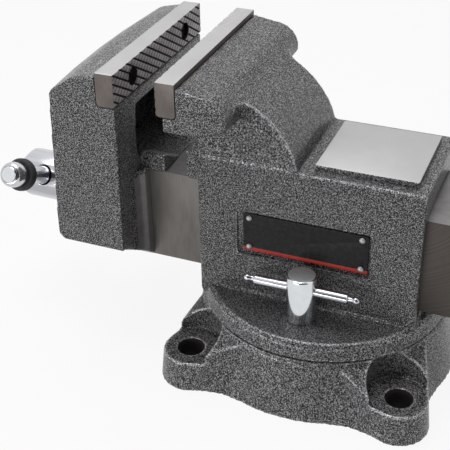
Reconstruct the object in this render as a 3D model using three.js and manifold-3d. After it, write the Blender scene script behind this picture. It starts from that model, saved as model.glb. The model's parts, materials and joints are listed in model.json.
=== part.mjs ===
// Swivel bench vise with 150 mm jaws, in millimetres with +Z up.
// The base stands on z = 0, the swivel axis is the Z axis, and the jaws open along X:
// the moving jaw, its spindle and the handle are on the -X side, and the anvil on the +X side.
import * as THREE from 'three';
import { ConvexGeometry } from 'three/addons/geometries/ConvexGeometry.js';
import { mergeVertices } from 'three/addons/utils/BufferGeometryUtils.js';
import Module from 'manifold-3d';

const wasm = await Module();
wasm.setup();

// Sizes of the whole vise
const jawWidth = 150;
const jawOpening = 31.2;
const throatDepth = 90;
const fit = 0.3; // between pieces that rest on each other
const runningFit = 0.4; // around pieces that slide or turn
const overrun = 6; // how far a cutting shape runs past the face that it opens

// Counts of flat sides and steps on round shapes
const largeRoundSides = 72;
const roundSides = 32;
const smallRoundSides = 20;
const cornerSteps = 5;
const hexSides = 6;
const rivetDomeSteps = 3;

// Swivel base
const baseHeight = 47.5;
const skirtFlare = 10; // of the skirt's foot past its top
const skirtEdge = 2;
const skirtWall = 11;
const deckThickness = 22;
const hubRadius = 24;
const lugCount = 4;
const firstLugAngle = Math.PI / 4;
const lugReach = 8.5; // of a lug's middle past the skirt's foot
const lugFootRadius = 23.5;
const lugTopRadius = 21;
const lugHeight = 24.4;
const ridgeHalfAngle = 24 * Math.PI / 180;
const ridgeSteps = 8;
const ridgeDrop = 1.5;
const pocketRadius = 24;
const lugCornerAngle = 17.3 * Math.PI / 180; // from a lug's middle to where its side meets the skirt
const lugSideAngle = 23.7 * Math.PI / 180;
const lugFilletReach = 18;
const lugFilletDepth = 4;
const benchBoltBore = 16.5;
const benchBoltMouth = 20.5;
const benchBoltMouthDepth = 3;

// Circular T-slot in the base, which holds the heads of the lock bolts
const lockNutRoom = 16.1; // from the block's side to the circle of the lock bolts
const slotRimWall = 20.4;
const slotWidth = 15;
const slotHeadWidth = 26;
const slotLip = 8;
const slotHeadDepth = 9.4;
const slotEntryAngle = Math.PI / 2;

// Pivot pin
const pivotDiameter = 30;
const pivotSeatHeight = 12;
const pivotChamfer = 1.5;
const pivotHeadroom = 4;

// Body: flange, block and floor
const flangeInset = 1; // of the flange's foot inside the skirt's top
const flangeThickness = 13.7;
const flangeDraft = 2;
const flangeEdge = 3;
const bodyRearReach = 80.5;
const bodyWall = 8.1;
const bodyFootRise = 1;
const bodyFootCorner = 8;
const bodyCorner = 2.5;
const floorRise = 2.5;

// Slide, which is one casting with the moving jaw
const slideHalfWidth = 38;
const slideHeight = 76.5;
const slideWall = 9;
const slideRearReach = 150;
const slideFloorGap = 7.5;
const channelCrown = 4;
const slideWayRearX = 62;

// Anvil and the web that carries the fixed jaw
const roofThickness = 23.5;
const anvilHeight = 4.1;
const anvilLength = 73.6;
const anvilFrontX = -1.1;
const anvilHalfWidth = 36.9;
const anvilDraft = 0.6;
const webFootX = -9;
const webShoulderX = -76;
const webShoulderDrop = 14.5;
const webDip = 15;
const webSpan = 57 * Math.PI / 180; // of the ellipse that the web's back follows
const webSteps = 8;
const webCrownDrop = 7.3;
const webLean = 3.6; // of each side, from the web's foot to the top of the jaw

// Fixed jaw: reaches are counted from its gripping face towards the anvil
const fixedFaceX = -103;
const jawHeadReach = 5;
const jawHeadBackReach = 51.5;
const collarReach = 6;
const throatWallReach = 10.5;
const bodyFaceReach = 16.5;
const webCrownReach = 36;
const jawHeadDrop = 3.5;
const jawHeadFall = 6;
const jawHeadDepth = 36;
const jawHeadTopRound = 18;
const jawHeadUnderRise = 6;
const jawHeadUnderFlat = 21;
const jawHeadUnderRound = 6;
const jawHeadFillet = 10;
const collarHalfWidth = 42;
const collarRise = 1;

// Jaw plates and their screws
const plateThickness = 14.3;
const plateHeight = 25;
const plateCorner = 2.5;
const screwSpacing = 90;
const screwDrop = 12.5;
const screwDiameter = 8;
const screwHeadDiameter = 12.6;
const screwHeadHeight = 8;
const screwHeadSink = 3.2;
const screwHoldLength = 14;
const screwSocket = 6;
const screwSocketDepth = 4.5;
const counterboreFit = 0.4;

// Moving jaw: reaches are counted from its gripping face towards the handle
const jawTopDrop = 2.2;
const jawBrowReach = 33.8;
const jawBrowDrop = 6.5;
const jawNoseReach = 52.1;
const jawNoseDrop = 19.4;
const jawToeReach = 58.1;
const jawToeDrop = 143.7;
const jawToeCorner = 8;
const jawBrowRound = 16;
const jawBow = 2.6; // of the middle of the brow, outward
const jawBowRise = 1;
const jawStationShares = [-1, -0.5, 0, 0.5, 1]; // of the jaw's half width
const jawInnerLean = 1.9;
const plateProud = 0.4;
const lowerJawHalfWidth = 72;
const lowerJawWaistHalfWidth = 45;
const lowerJawWaistRise = 6;
const lowerJawReach = 52.8;
const neckReach = 4.2; // of the neck's end past the gripping face, towards the anvil
const neckHalfWidth = 44;
const neckFlare = 16;
const neckFlareShare = 0.25; // of the flare that is left half way along the neck
const footReach = 17.8; // of the foot's end past the gripping face, towards the anvil
const footHeight = 15;
const footValleyHalfWidth = 12;
const footValleyRise = 1.2;
const footCorner = 2.5;
const footPocketFit = 1.5;
const pocketHalfWidth = 44;
const pocketDepth = 34;
const pocketHeight = 53;
const pocketTopDrop = 10.5;
const pocketCorner = 20;

// Spindle, with the handle's hole in its head
const spindleRise = 29.5; // of the spindle axis above the underside of the slide
const spindleShankDiameter = 26;
const spindleThreadDiameter = 25;
const spindleTipX = 100;
const spindleTipChamfer = 2;
const spindleHeadDiameter = 40;
const spindleHeadLength = 51.4;
const spindleHeadFrontChamfer = 6;
const spindleHeadBackChamfer = 1.5;
const frontWallBackReach = 35.5;
const bossReach = 74.8;
const bossDiameter = 56;
const bossDraft = 1.5;
const thrustWasherThickness = 3;
const thrustWasherDiameter = 42;
const collarDiameter = 42;
const collarLength = 11;
const collarPinDiameter = 5;
const boreFit = 0.5;

// Spindle nut and the bolt that holds it to the floor
const nutFrontX = -60;
const nutLength = 35;
const nutHalfWidth = 20;
const nutBoltDiameter = 12;
const nutBoltReach = 14;
const nutBoltHeadWidth = 18;
const nutBoltHeadHeight = 7.5;
const nutBoltHeadSink = 1;
const nutBoltPocket = 22;

// Handle: distances along the bar are counted from the spindle axis
const handleInset = 24.7; // of the bar's middle line behind the front of the spindle's head
const handleTilt = 28 * Math.PI / 180;
const handleDiameter = 15;
const handleNearEnd = 71;
const handleLength = 250;
const knobDiameter = 20;
const knobLength = 15;
const knobFace = 10;
const knobDome = 7;
const knobSpigotDiameter = 9;
const knobSpigotLength = 10;
const ringDiameter = 26;
const ringWidth = 8;
const ringEdge = 2.5;

// Lock bolts, nuts and bars
const lockBoltDiameter = 14;
const lockBoltHeadDiameter = 24;
const lockBoltHeadHeight = 8;
const lockBoltReach = 18;
const lockBoltHoleFit = 0.5;
const lockNutDiameter = 22;
const lockNutHeight = 38;
const lockNutChamfer = 1.2;
const lockNutThreadDepth = 19.5;
const lockBarDiameter = 8;
const lockBarLength = 88;
const lockBarRise = 25.7;
const lockBarShift = -0.5;
const lockBarNeckDiameter = 4.2;
const lockBarNeckLength = 2.8;
const lockBarBallDiameter = 5.8;
const lockBarEdge = 0.6;

// Name plate on the near side of the body, left bare
const namePlateLength = 94.4;
const namePlateHeight = 31.5;
const namePlateThickness = 1.2;
const namePlateCentreX = -4;
const namePlateRise = 54.1; // of its middle above the flange
const namePlateCorner = 1.2;
const namePlateRecess = 1.6;
const recessMarginFront = 4.8;
const recessMarginRear = 1.8;
const recessMarginAbove = 1.4;
const recessMarginBelow = 4.3;
const recessCorner = 2;
const rivetInsetX = 4.8;
const rivetInsetZ = 3.6;
const rivetHeadDiameter = 4.6;
const rivetHeadHeight = 1.7;
const rivetDiameter = 2.4;
const rivetLength = 7;

// Heights and places that follow from the sizes above
const flangeBottomZ = baseHeight + fit;
const flangeTopZ = flangeBottomZ + flangeThickness;
const floorZ = flangeTopZ + floorRise;
const slideBottomZ = floorZ + slideFloorGap;
const slideTopZ = slideBottomZ + slideHeight;
const ledgeZ = slideTopZ + roofThickness;
const jawTopZ = slideTopZ + throatDepth;
const plateBottomZ = jawTopZ - plateHeight;
const spindleZ = slideBottomZ + spindleRise;
const bodyHalfWidth = slideHalfWidth + runningFit + bodyWall;
const lockCircleRadius = bodyHalfWidth + lockNutRoom;
const skirtTopRadius = lockCircleRadius + slotHeadWidth / 2 + slotRimWall;
const skirtFootRadius = skirtTopRadius + skirtFlare;
const lugCircleRadius = skirtFootRadius + lugReach;
const flangeRadius = skirtTopRadius - flangeInset;
const bodyFrontX = fixedFaceX + bodyFaceReach;
const jawHeadFrontX = fixedFaceX + jawHeadReach;
const jawHeadBackX = fixedFaceX + jawHeadBackReach;
const collarFrontX = fixedFaceX + collarReach;
const movingFaceX = fixedFaceX - jawOpening;
const neckEndX = movingFaceX + neckReach;
const footEndX = movingFaceX + footReach;
const lowerJawFrontX = movingFaceX - lowerJawReach;
const frontWallBackX = movingFaceX - frontWallBackReach;
const bossEndX = movingFaceX - bossReach;
const spindleHeadBackX = bossEndX - 2 * fit - thrustWasherThickness;
const spindleHeadFrontX = spindleHeadBackX - spindleHeadLength;
const handleX = spindleHeadFrontX + handleInset;
const fixedSeatX = fixedFaceX + plateThickness + fit;
const movingSeatX = movingFaceX - plateThickness - fit;
const screwZ = jawTopZ - screwDrop;
const jawToeZ = jawTopZ - jawToeDrop;

// Turns a closed geometry into a solid that can be joined and cut
function solidOf(geometry) {
  const bare = geometry.index ? geometry.toNonIndexed() : geometry.clone();
  bare.deleteAttribute('normal');
  bare.deleteAttribute('uv');
  const merged = mergeVertices(bare);
  const corners = merged.index.array;
  const kept = [];
  for (let i = 0; i < corners.length; i += 3) {
    const [a, b, c] = [corners[i], corners[i + 1], corners[i + 2]];
    if (a !== b && b !== c && c !== a) {
      kept.push(a, b, c);
    }
  }
  const vertProperties = merged.attributes.position.array;
  const triVerts = Uint32Array.from(kept);
  return new wasm.Manifold(new wasm.Mesh({ numProp: 3, vertProperties, triVerts }));
}

function geometryOf(solid) {
  const mesh = solid.getMesh();
  const geometry = new THREE.BufferGeometry();
  geometry.setAttribute('position', new THREE.BufferAttribute(mesh.vertProperties, mesh.numProp));
  geometry.setIndex(new THREE.BufferAttribute(mesh.triVerts, 1));
  geometry.computeVertexNormals();
  return geometry;
}

function joined(first, ...others) {
  return others.reduce((sum, other) => sum.add(other), first);
}

function cut(first, ...others) {
  return others.reduce((rest, other) => rest.subtract(other), first);
}

function box([x0, x1], [y0, y1], [z0, z1]) {
  const geometry = new THREE.BoxGeometry(x1 - x0, y1 - y0, z1 - z0);
  geometry.translate((x0 + x1) / 2, (y0 + y1) / 2, (z0 + z1) / 2);
  return solidOf(geometry);
}

// Closed outline through corners [x, y, radius], each rounded by its radius if it has one
function roundedOutline(corners) {
  const shape = new THREE.Shape();
  corners.forEach(([x, y, radius = 0], i) => {
    const corner = new THREE.Vector2(x, y);
    const [beforeX, beforeY] = corners.at(i - 1);
    const [afterX, afterY] = corners[(i + 1) % corners.length];
    const before = new THREE.Vector2(beforeX, beforeY).sub(corner).normalize();
    const after = new THREE.Vector2(afterX, afterY).sub(corner).normalize();
    const halfAngle = Math.acos(THREE.MathUtils.clamp(before.dot(after), -1, 1)) / 2;
    const clockwise = before.cross(after) > 0;
    const centre = before.clone().add(after).setLength(radius / Math.sin(halfAngle)).add(corner);
    const reach = radius / Math.tan(halfAngle);
    const start = before.multiplyScalar(reach).add(corner);
    const end = after.multiplyScalar(reach).add(corner);
    if (i === 0) {
      shape.moveTo(start.x, start.y);
    } else {
      shape.lineTo(start.x, start.y);
    }
    if (radius > 0) {
      const startAngle = start.clone().sub(centre).angle();
      const endAngle = end.clone().sub(centre).angle();
      shape.absarc(centre.x, centre.y, radius, startAngle, endAngle, clockwise);
    }
  });
  shape.closePath();
  return shape;
}

function extruded(shape, depth) {
  return new THREE.ExtrudeGeometry(shape, { depth, bevelEnabled: false, curveSegments: cornerSteps });
}

// Shape drawn in X and Z, as wide as halfWidth on both sides of the XZ plane
function acrossY(shape, halfWidth) {
  const geometry = extruded(shape, 2 * halfWidth);
  geometry.rotateX(Math.PI / 2);
  geometry.translate(0, halfWidth, 0);
  return solidOf(geometry);
}

const yzToX = new THREE.Matrix4().makeBasis(
  new THREE.Vector3(0, 1, 0),
  new THREE.Vector3(0, 0, 1),
  new THREE.Vector3(1, 0, 0),
);

// Shape drawn in Y and Z, run from one x to another
function alongX(shape, x0, x1) {
  const geometry = extruded(shape, x1 - x0);
  geometry.applyMatrix4(yzToX);
  geometry.translate(x0, 0, 0);
  return solidOf(geometry);
}

// Shape drawn in X and Y, run from one z to another
function alongZ(shape, z0, z1) {
  const geometry = extruded(shape, z1 - z0);
  geometry.translate(0, 0, z0);
  return solidOf(geometry);
}

// Round shape about the Z axis, from corners [radius, z] that go outward and up
function turnedGeometry(corners, sides = roundSides) {
  const geometry = new THREE.LatheGeometry(corners.map(([r, z]) => new THREE.Vector2(r, z)), sides);
  geometry.rotateX(Math.PI / 2);
  return geometry;
}

function turned(corners, sides = roundSides) {
  return solidOf(turnedGeometry(corners, sides));
}

// Round shape about a line along X at the height axisZ, from corners [radius, x]
function turnedAlongX(corners, axisZ, sides = roundSides) {
  const geometry = turnedGeometry(corners, sides);
  geometry.applyMatrix4(yzToX);
  geometry.translate(0, 0, axisZ);
  return solidOf(geometry);
}

// Round bar from one z to another about an upright line through x and y
function upright(diameter, z0, z1, x = 0, y = 0, sides = roundSides) {
  const geometry = new THREE.CylinderGeometry(diameter / 2, diameter / 2, z1 - z0, sides);
  geometry.rotateX(Math.PI / 2);
  geometry.translate(x, y, (z0 + z1) / 2);
  return solidOf(geometry);
}

// Round bar from one x to another at a y and a z
function level(diameter, x0, x1, y, z, sides = roundSides) {
  const geometry = new THREE.CylinderGeometry(diameter / 2, diameter / 2, x1 - x0, sides);
  geometry.rotateZ(Math.PI / 2);
  geometry.translate((x0 + x1) / 2, y, z);
  return solidOf(geometry);
}

function hullOf(points) {
  return solidOf(new ConvexGeometry(points));
}

function ringPoints(radius, z, centreX, centreY, sides) {
  const points = [];
  for (let i = 0; i < sides; i += 1) {
    const angle = 2 * Math.PI * i / sides;
    const x = centreX + radius * Math.cos(angle);
    const y = centreY + radius * Math.sin(angle);
    points.push(new THREE.Vector3(x, y, z));
  }
  return points;
}

// Finishes
function finish(color, roughness, metalness) {
  return new THREE.MeshStandardMaterial({ color, roughness, metalness });
}

const hammeredPaint = () => finish(0x55555a, 0.45, 0.2);
const groundSteel = () => finish(0xc4c4c8, 0.35, 0.9);
const darkSteel = () => finish(0x5c5a58, 0.5, 0.8);
const chromedSteel = () => finish(0xdadde0, 0.12, 1);
const bronze = () => finish(0xa07a45, 0.4, 0.9);
const blackRubber = () => finish(0x1c1c1e, 0.8, 0);
const blackEnamel = () => finish(0x1e1e20, 0.25, 0.1);

const vise = new THREE.Group();

function addPiece(name, solid, material, parent = vise) {
  const mesh = new THREE.Mesh(geometryOf(solid), material);
  mesh.name = name;
  parent.add(mesh);
}

// A lug: a tapered round foot, and a ridge that climbs from it to the rim of the deck
function lug(angle) {
  const centreX = lugCircleRadius * Math.cos(angle);
  const centreY = lugCircleRadius * Math.sin(angle);
  const foot = [
    ...ringPoints(lugFootRadius, 0, centreX, centreY, roundSides),
    ...ringPoints(lugTopRadius, lugHeight, centreX, centreY, roundSides),
  ];
  const rim = [];
  for (let i = 0; i <= ridgeSteps; i += 1) {
    const turn = angle + ridgeHalfAngle * (2 * i / ridgeSteps - 1);
    const rimRadius = skirtTopRadius - skirtEdge;
    for (const z of [0, baseHeight - ridgeDrop]) {
      rim.push(new THREE.Vector3(rimRadius * Math.cos(turn), rimRadius * Math.sin(turn), z));
    }
  }
  return hullOf([...foot, ...rim]);
}

// Fillet between one side of a lug and the skirt, which runs out at the end of the ridge's rim
function lugFillet(angle, side) {
  const place = (along, across, z) => new THREE.Vector3(along, side * across, z)
    .applyAxisAngle(new THREE.Vector3(0, 0, 1), angle);
  const onCircle = (radius, turn, z) => place(radius * Math.cos(turn), radius * Math.sin(turn), z);
  const cornerAlong = skirtFootRadius * Math.cos(lugCornerAngle);
  const cornerAcross = skirtFootRadius * Math.sin(lugCornerAngle);
  const outward = new THREE.Vector2(
    Math.cos(lugSideAngle) - Math.sin(lugCornerAngle),
    Math.cos(lugCornerAngle) - Math.sin(lugSideAngle),
  ).setLength(lugFilletDepth);
  const root = place(cornerAlong - outward.x, cornerAcross - outward.y, 0);
  const middle = place(cornerAlong + outward.x, cornerAcross + outward.y, 0);
  const peak = onCircle(skirtTopRadius - skirtEdge, ridgeHalfAngle, baseHeight - ridgeDrop);
  const onSkirt = onCircle(skirtFootRadius, lugCornerAngle + lugFilletReach / skirtFootRadius, 0);
  const onLug = place(
    cornerAlong + lugFilletReach * Math.cos(lugSideAngle),
    cornerAcross - lugFilletReach * Math.sin(lugSideAngle),
    0,
  );
  return [hullOf([root, middle, onSkirt, peak]), hullOf([root, middle, onLug, peak])];
}

function lugCuts(angle) {
  const x = lugCircleRadius * Math.cos(angle);
  const y = lugCircleRadius * Math.sin(angle);
  const mouth = turned([
    [0, lugHeight - benchBoltMouthDepth],
    [benchBoltBore / 2, lugHeight - benchBoltMouthDepth],
    [benchBoltMouth / 2, lugHeight],
    [benchBoltMouth / 2, lugHeight + overrun],
    [0, lugHeight + overrun],
  ], smallRoundSides).translate([x, y, 0]);
  return [
    upright(2 * pocketRadius, lugHeight, baseHeight + overrun, x, y),
    upright(benchBoltBore, -overrun, lugHeight, x, y, smallRoundSides),
    mouth,
  ];
}

function swivelBase() {
  const skirt = turned([
    [0, 0],
    [skirtFootRadius, 0],
    [skirtTopRadius, baseHeight - skirtEdge],
    [skirtTopRadius - skirtEdge, baseHeight],
    [0, baseHeight],
  ], largeRoundSides);
  const deckBottomZ = baseHeight - deckThickness;
  const hollow = turned([
    [hubRadius, -overrun],
    [skirtFootRadius - skirtWall, -overrun],
    [skirtFootRadius - skirtWall, 0],
    [skirtTopRadius - skirtWall, deckBottomZ],
    [hubRadius, deckBottomZ],
    [hubRadius, -overrun],
  ], largeRoundSides);
  const slotRoofZ = baseHeight - slotLip;
  const slotFloorZ = slotRoofZ - slotHeadDepth;
  const slot = turned([
    [lockCircleRadius - slotHeadWidth / 2, slotFloorZ],
    [lockCircleRadius + slotHeadWidth / 2, slotFloorZ],
    [lockCircleRadius + slotHeadWidth / 2, slotRoofZ],
    [lockCircleRadius + slotWidth / 2, slotRoofZ],
    [lockCircleRadius + slotWidth / 2, baseHeight + overrun],
    [lockCircleRadius - slotWidth / 2, baseHeight + overrun],
    [lockCircleRadius - slotWidth / 2, slotRoofZ],
    [lockCircleRadius - slotHeadWidth / 2, slotRoofZ],
    [lockCircleRadius - slotHeadWidth / 2, slotFloorZ],
  ], largeRoundSides);
  const entryX = lockCircleRadius * Math.sin(slotEntryAngle);
  const entryY = lockCircleRadius * Math.cos(slotEntryAngle);
  const slotEntry = upright(slotHeadWidth, slotFloorZ, baseHeight + overrun, entryX, entryY);
  const pivotSeat = upright(pivotDiameter + 2 * fit, pivotSeatHeight - fit, baseHeight + overrun);
  const lugAngles = Array.from({ length: lugCount }, (_, i) => firstLugAngle + 2 * Math.PI * i / lugCount);
  return cut(
    joined(skirt, ...lugAngles.map(lug), ...lugAngles.flatMap((angle) => [
      ...lugFillet(angle, -1),
      ...lugFillet(angle, 1),
    ])),
    hollow,
    slot,
    slotEntry,
    pivotSeat,
    ...lugAngles.flatMap(lugCuts),
  );
}

function pivotPin() {
  const topZ = flangeTopZ - pivotHeadroom;
  return turned([
    [0, pivotSeatHeight],
    [pivotDiameter / 2 - pivotChamfer, pivotSeatHeight],
    [pivotDiameter / 2, pivotSeatHeight + pivotChamfer],
    [pivotDiameter / 2, topZ - pivotChamfer],
    [pivotDiameter / 2 - pivotChamfer, topZ],
    [0, topZ],
  ]);
}

function bodyFlange() {
  return turned([
    [0, flangeBottomZ],
    [flangeRadius, flangeBottomZ],
    [flangeRadius - flangeDraft, flangeTopZ - flangeEdge],
    [flangeRadius - flangeDraft - flangeEdge, flangeTopZ],
    [0, flangeTopZ],
  ], largeRoundSides);
}

function bodyBlock() {
  return acrossY(roundedOutline([
    [bodyFrontX, flangeBottomZ + bodyFootRise, bodyFootCorner],
    [bodyRearReach, flangeBottomZ + bodyFootRise, bodyCorner],
    [bodyRearReach, ledgeZ, bodyCorner],
    [bodyFrontX, ledgeZ],
  ]), bodyHalfWidth);
}

// Solid whose back falls from the top of the jaw's head to the anvil's ledge, with a half width at each height
function webSolid(halfWidthAt) {
  const shoulderZ = jawTopZ - webShoulderDrop;
  const footZ = ledgeZ - webDip;
  const outline = [
    [bodyFrontX, footZ],
    [bodyFrontX, jawTopZ - webCrownDrop],
    [fixedFaceX + webCrownReach, jawTopZ - webCrownDrop],
  ];
  for (let i = 0; i <= webSteps; i += 1) {
    const angle = webSpan * i / webSteps;
    outline.push([
      webShoulderX + (webFootX - webShoulderX) * Math.cos(angle),
      footZ + (shoulderZ - footZ) * Math.sin(angle),
    ]);
  }
  return hullOf(outline.flatMap(([x, z]) => [
    new THREE.Vector3(x, -halfWidthAt(z), z),
    new THREE.Vector3(x, halfWidthAt(z), z),
  ]));
}

// Half width of the web, whose sides lean in towards the top
function webHalfWidth(z) {
  const footZ = ledgeZ - webDip;
  return bodyHalfWidth - webLean * (z - footZ) / (jawTopZ - footZ);
}

function fixedJawHead() {
  const headTopZ = jawTopZ - jawHeadDrop;
  const underZ = jawTopZ - jawHeadDepth;
  return acrossY(roundedOutline([
    [jawHeadFrontX, underZ],
    [jawHeadFrontX + jawHeadUnderFlat, underZ],
    [jawHeadBackX, underZ + jawHeadUnderRise, jawHeadUnderRound],
    [jawHeadBackX, headTopZ - jawHeadFall, jawHeadTopRound],
    [fixedSeatX, headTopZ],
    [fixedSeatX, plateBottomZ - fit],
    [jawHeadFrontX, plateBottomZ - fit],
  ]), jawWidth / 2);
}

// Fillet, seen from above, between the back of the jaw's head and one side of the web
function headFillet(side) {
  const webSide = webHalfWidth(jawTopZ - jawHeadDepth);
  const corners = [
    [jawHeadBackX - overrun, webSide - overrun],
    [jawHeadBackX + jawHeadFillet + overrun, webSide - overrun],
    [jawHeadBackX + jawHeadFillet + overrun, webSide],
    [jawHeadBackX, webSide, jawHeadFillet],
    [jawHeadBackX, webSide + jawHeadFillet + overrun],
    [jawHeadBackX - overrun, webSide + jawHeadFillet + overrun],
  ];
  const outline = side > 0 ? corners : corners.map(([x, y, ...radius]) => [x, -y, ...radius]).reverse();
  const block = alongZ(roundedOutline(outline), jawTopZ - jawHeadDepth + jawHeadUnderRise, jawTopZ);
  return block.intersect(webSolid(() => jawWidth / 2));
}

// Wall below the jaw's head, on a rim round the mouth of the slide's tunnel
function throatCollar() {
  const across = [-collarHalfWidth, collarHalfWidth];
  const rim = box([collarFrontX, jawHeadBackX], across, [slideTopZ + collarRise, ledgeZ]);
  const wall = box(
    [fixedFaceX + throatWallReach, jawHeadBackX],
    across,
    [slideTopZ + collarRise, jawTopZ - jawHeadDepth + collarRise],
  );
  return joined(rim, wall);
}

function anvilPad() {
  const rearX = anvilFrontX + anvilLength;
  const corners = [];
  for (const [z, inset] of [[ledgeZ - anvilHeight, 0], [ledgeZ, 0], [ledgeZ + anvilHeight, anvilDraft]]) {
    for (const x of [anvilFrontX + inset, rearX - inset]) {
      for (const y of [-anvilHalfWidth + inset, anvilHalfWidth - inset]) {
        corners.push(new THREE.Vector3(x, y, z));
      }
    }
  }
  return hullOf(corners);
}

// Tunnel for the slide, with a low crown in its roof
function slideChannel() {
  const halfWidth = slideHalfWidth + runningFit;
  const springZ = slideTopZ + runningFit;
  const shape = new THREE.Shape();
  shape.moveTo(-halfWidth, floorZ);
  shape.lineTo(halfWidth, floorZ);
  shape.lineTo(halfWidth, springZ);
  shape.quadraticCurveTo(0, springZ + 2 * channelCrown, -halfWidth, springZ);
  shape.closePath();
  return alongX(shape, collarFrontX - overrun, bodyRearReach + overrun);
}

// Raised strips on the floor of the channel, on which the slide's two walls run
function slideWays() {
  const inner = slideHalfWidth - slideWall;
  const outer = slideHalfWidth + runningFit + fit;
  return [-1, 1].map((side) => box(
    [bodyFrontX + bodyCorner, slideWayRearX],
    [side * inner, side * outer].sort((a, b) => a - b),
    [floorZ - fit, slideBottomZ - runningFit],
  ));
}

function footPocket() {
  const room = slideHalfWidth + footPocketFit;
  const endX = footEndX + jawOpening + footPocketFit;
  const topZ = slideTopZ + footHeight + footPocketFit;
  return box([collarFrontX - overrun, endX], [-room, room], [slideTopZ, topZ]);
}

function namePlateRecessCut() {
  const [frontX, rearX] = [
    namePlateCentreX - namePlateLength / 2 - recessMarginFront,
    namePlateCentreX + namePlateLength / 2 + recessMarginRear,
  ];
  const middleZ = flangeTopZ + namePlateRise;
  const bottomZ = middleZ - namePlateHeight / 2 - recessMarginBelow;
  const topZ = middleZ + namePlateHeight / 2 + recessMarginAbove;
  return acrossY(roundedOutline([
    [frontX, bottomZ, recessCorner],
    [rearX, bottomZ, recessCorner],
    [rearX, topZ, recessCorner],
    [frontX, topZ, recessCorner],
  ]), overrun / 2).translate([0, namePlateRecess - bodyHalfWidth - overrun / 2, 0]);
}

const nutCentreX = nutFrontX + nutLength / 2;
const screwPlaces = [-screwSpacing / 2, screwSpacing / 2];
const lockPlaces = [[0, -lockCircleRadius], [0, lockCircleRadius]];
const rivetPlaces = [-1, 1].flatMap((across) => [-1, 1].map((up) => [
  namePlateCentreX + across * (namePlateLength / 2 - rivetInsetX),
  flangeTopZ + namePlateRise + up * (namePlateHeight / 2 - rivetInsetZ),
]));

// Round hole along Y into the near side of the body
function rivetHole([x, z]) {
  const geometry = new THREE.CylinderGeometry(
    rivetDiameter / 2 + fit,
    rivetDiameter / 2 + fit,
    2 * (rivetLength + fit),
    smallRoundSides,
  );
  geometry.translate(x, -bodyHalfWidth, z);
  return solidOf(geometry);
}

function viseBody() {
  const screwHoleEndX = fixedSeatX + screwHoldLength;
  const screwHoles = screwPlaces.map((y) => level(
    screwDiameter + 2 * fit, fixedSeatX - overrun, screwHoleEndX, y, screwZ, smallRoundSides));
  const lockHoles = lockPlaces.map(([x, y]) => upright(
    lockBoltDiameter + 2 * lockBoltHoleFit, flangeBottomZ - overrun, flangeTopZ + overrun, x, y));
  const nutBoltPocketTopZ = flangeBottomZ + nutBoltHeadSink + nutBoltHeadHeight + fit;
  const casting = joined(
    bodyFlange(),
    bodyBlock(),
    webSolid(webHalfWidth),
    fixedJawHead(),
    headFillet(-1),
    headFillet(1),
    throatCollar(),
    anvilPad(),
  );
  return cut(
    joined(cut(casting, slideChannel()), ...slideWays()),
    footPocket(),
    namePlateRecessCut(),
    upright(pivotDiameter + 2 * fit, flangeBottomZ - overrun, flangeTopZ - pivotHeadroom + fit),
    upright(
      nutBoltDiameter + 2 * fit, flangeBottomZ - overrun, floorZ + overrun, nutCentreX, 0, smallRoundSides),
    upright(
      nutBoltPocket, flangeBottomZ - overrun, nutBoltPocketTopZ, nutCentreX, 0, smallRoundSides),
    ...screwHoles,
    ...lockHoles,
    ...rivetPlaces.map(rivetHole),
  );
}

// Jaw plate with two counterbored holes in its gripping face, on the side that faces gives (+1 or -1)
function jawPlate(faceX, facing) {
  const backX = faceX - facing * plateThickness;
  const [x0, x1] = [Math.min(faceX, backX), Math.max(faceX, backX)];
  const plate = acrossY(roundedOutline([
    [x0, plateBottomZ, plateCorner],
    [x1, plateBottomZ, plateCorner],
    [x1, jawTopZ],
    [x0, jawTopZ],
  ]), jawWidth / 2);
  const headDepth = screwHeadSink + screwHeadHeight + fit;
  const holes = screwPlaces.flatMap((y) => {
    const counterbore = [faceX - facing * headDepth, faceX + facing * overrun].sort((a, b) => a - b);
    return [
      level(screwDiameter + 2 * fit, x0 - overrun, x1 + overrun, y, screwZ, smallRoundSides),
      level(screwHeadDiameter + 2 * counterboreFit, ...counterbore, y, screwZ, roundSides),
    ];
  });
  return cut(plate, ...holes);
}

// Socket head screw along X whose head lies under the plate's face; facing is the way that its head looks
function jawScrew(faceX, facing, y) {
  const headFaceX = faceX - facing * screwHeadSink;
  const headBackX = headFaceX - facing * screwHeadHeight;
  const tipX = faceX - facing * (plateThickness + screwHoldLength - fit);
  const inOrder = (a, b) => [Math.min(a, b), Math.max(a, b)];
  const head = level(screwHeadDiameter, ...inOrder(headFaceX, headBackX), y, screwZ, roundSides);
  const shank = level(screwDiameter, ...inOrder(headFaceX - facing * screwSocketDepth, tipX), y, screwZ,
    smallRoundSides);
  const socketReach = inOrder(headFaceX + facing * overrun, headFaceX - facing * screwSocketDepth);
  const socket = level(screwSocket, ...socketReach, y, screwZ, hexSides);
  return cut(joined(head, shank), socket);
}

// Outline of the moving jaw in X and Z without its plate's seat; bow is 1 where the brow stands out most
function movingJawOutline(bow) {
  const innerX = movingFaceX - plateProud;
  const topZ = jawTopZ - jawTopDrop;
  return roundedOutline([
    [movingFaceX - jawToeReach - jawBow * bow, jawToeZ, jawToeCorner],
    [innerX - jawInnerLean, jawToeZ],
    [innerX, plateBottomZ - fit],
    [innerX, topZ],
    [movingSeatX, topZ],
    [movingFaceX - jawBrowReach - jawBow * bow, jawTopZ - jawBrowDrop + jawBowRise * bow, jawBrowRound],
    [movingFaceX - jawNoseReach - jawBow * bow, jawTopZ - jawNoseDrop + jawBowRise * bow, jawToeCorner],
  ]);
}

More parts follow.
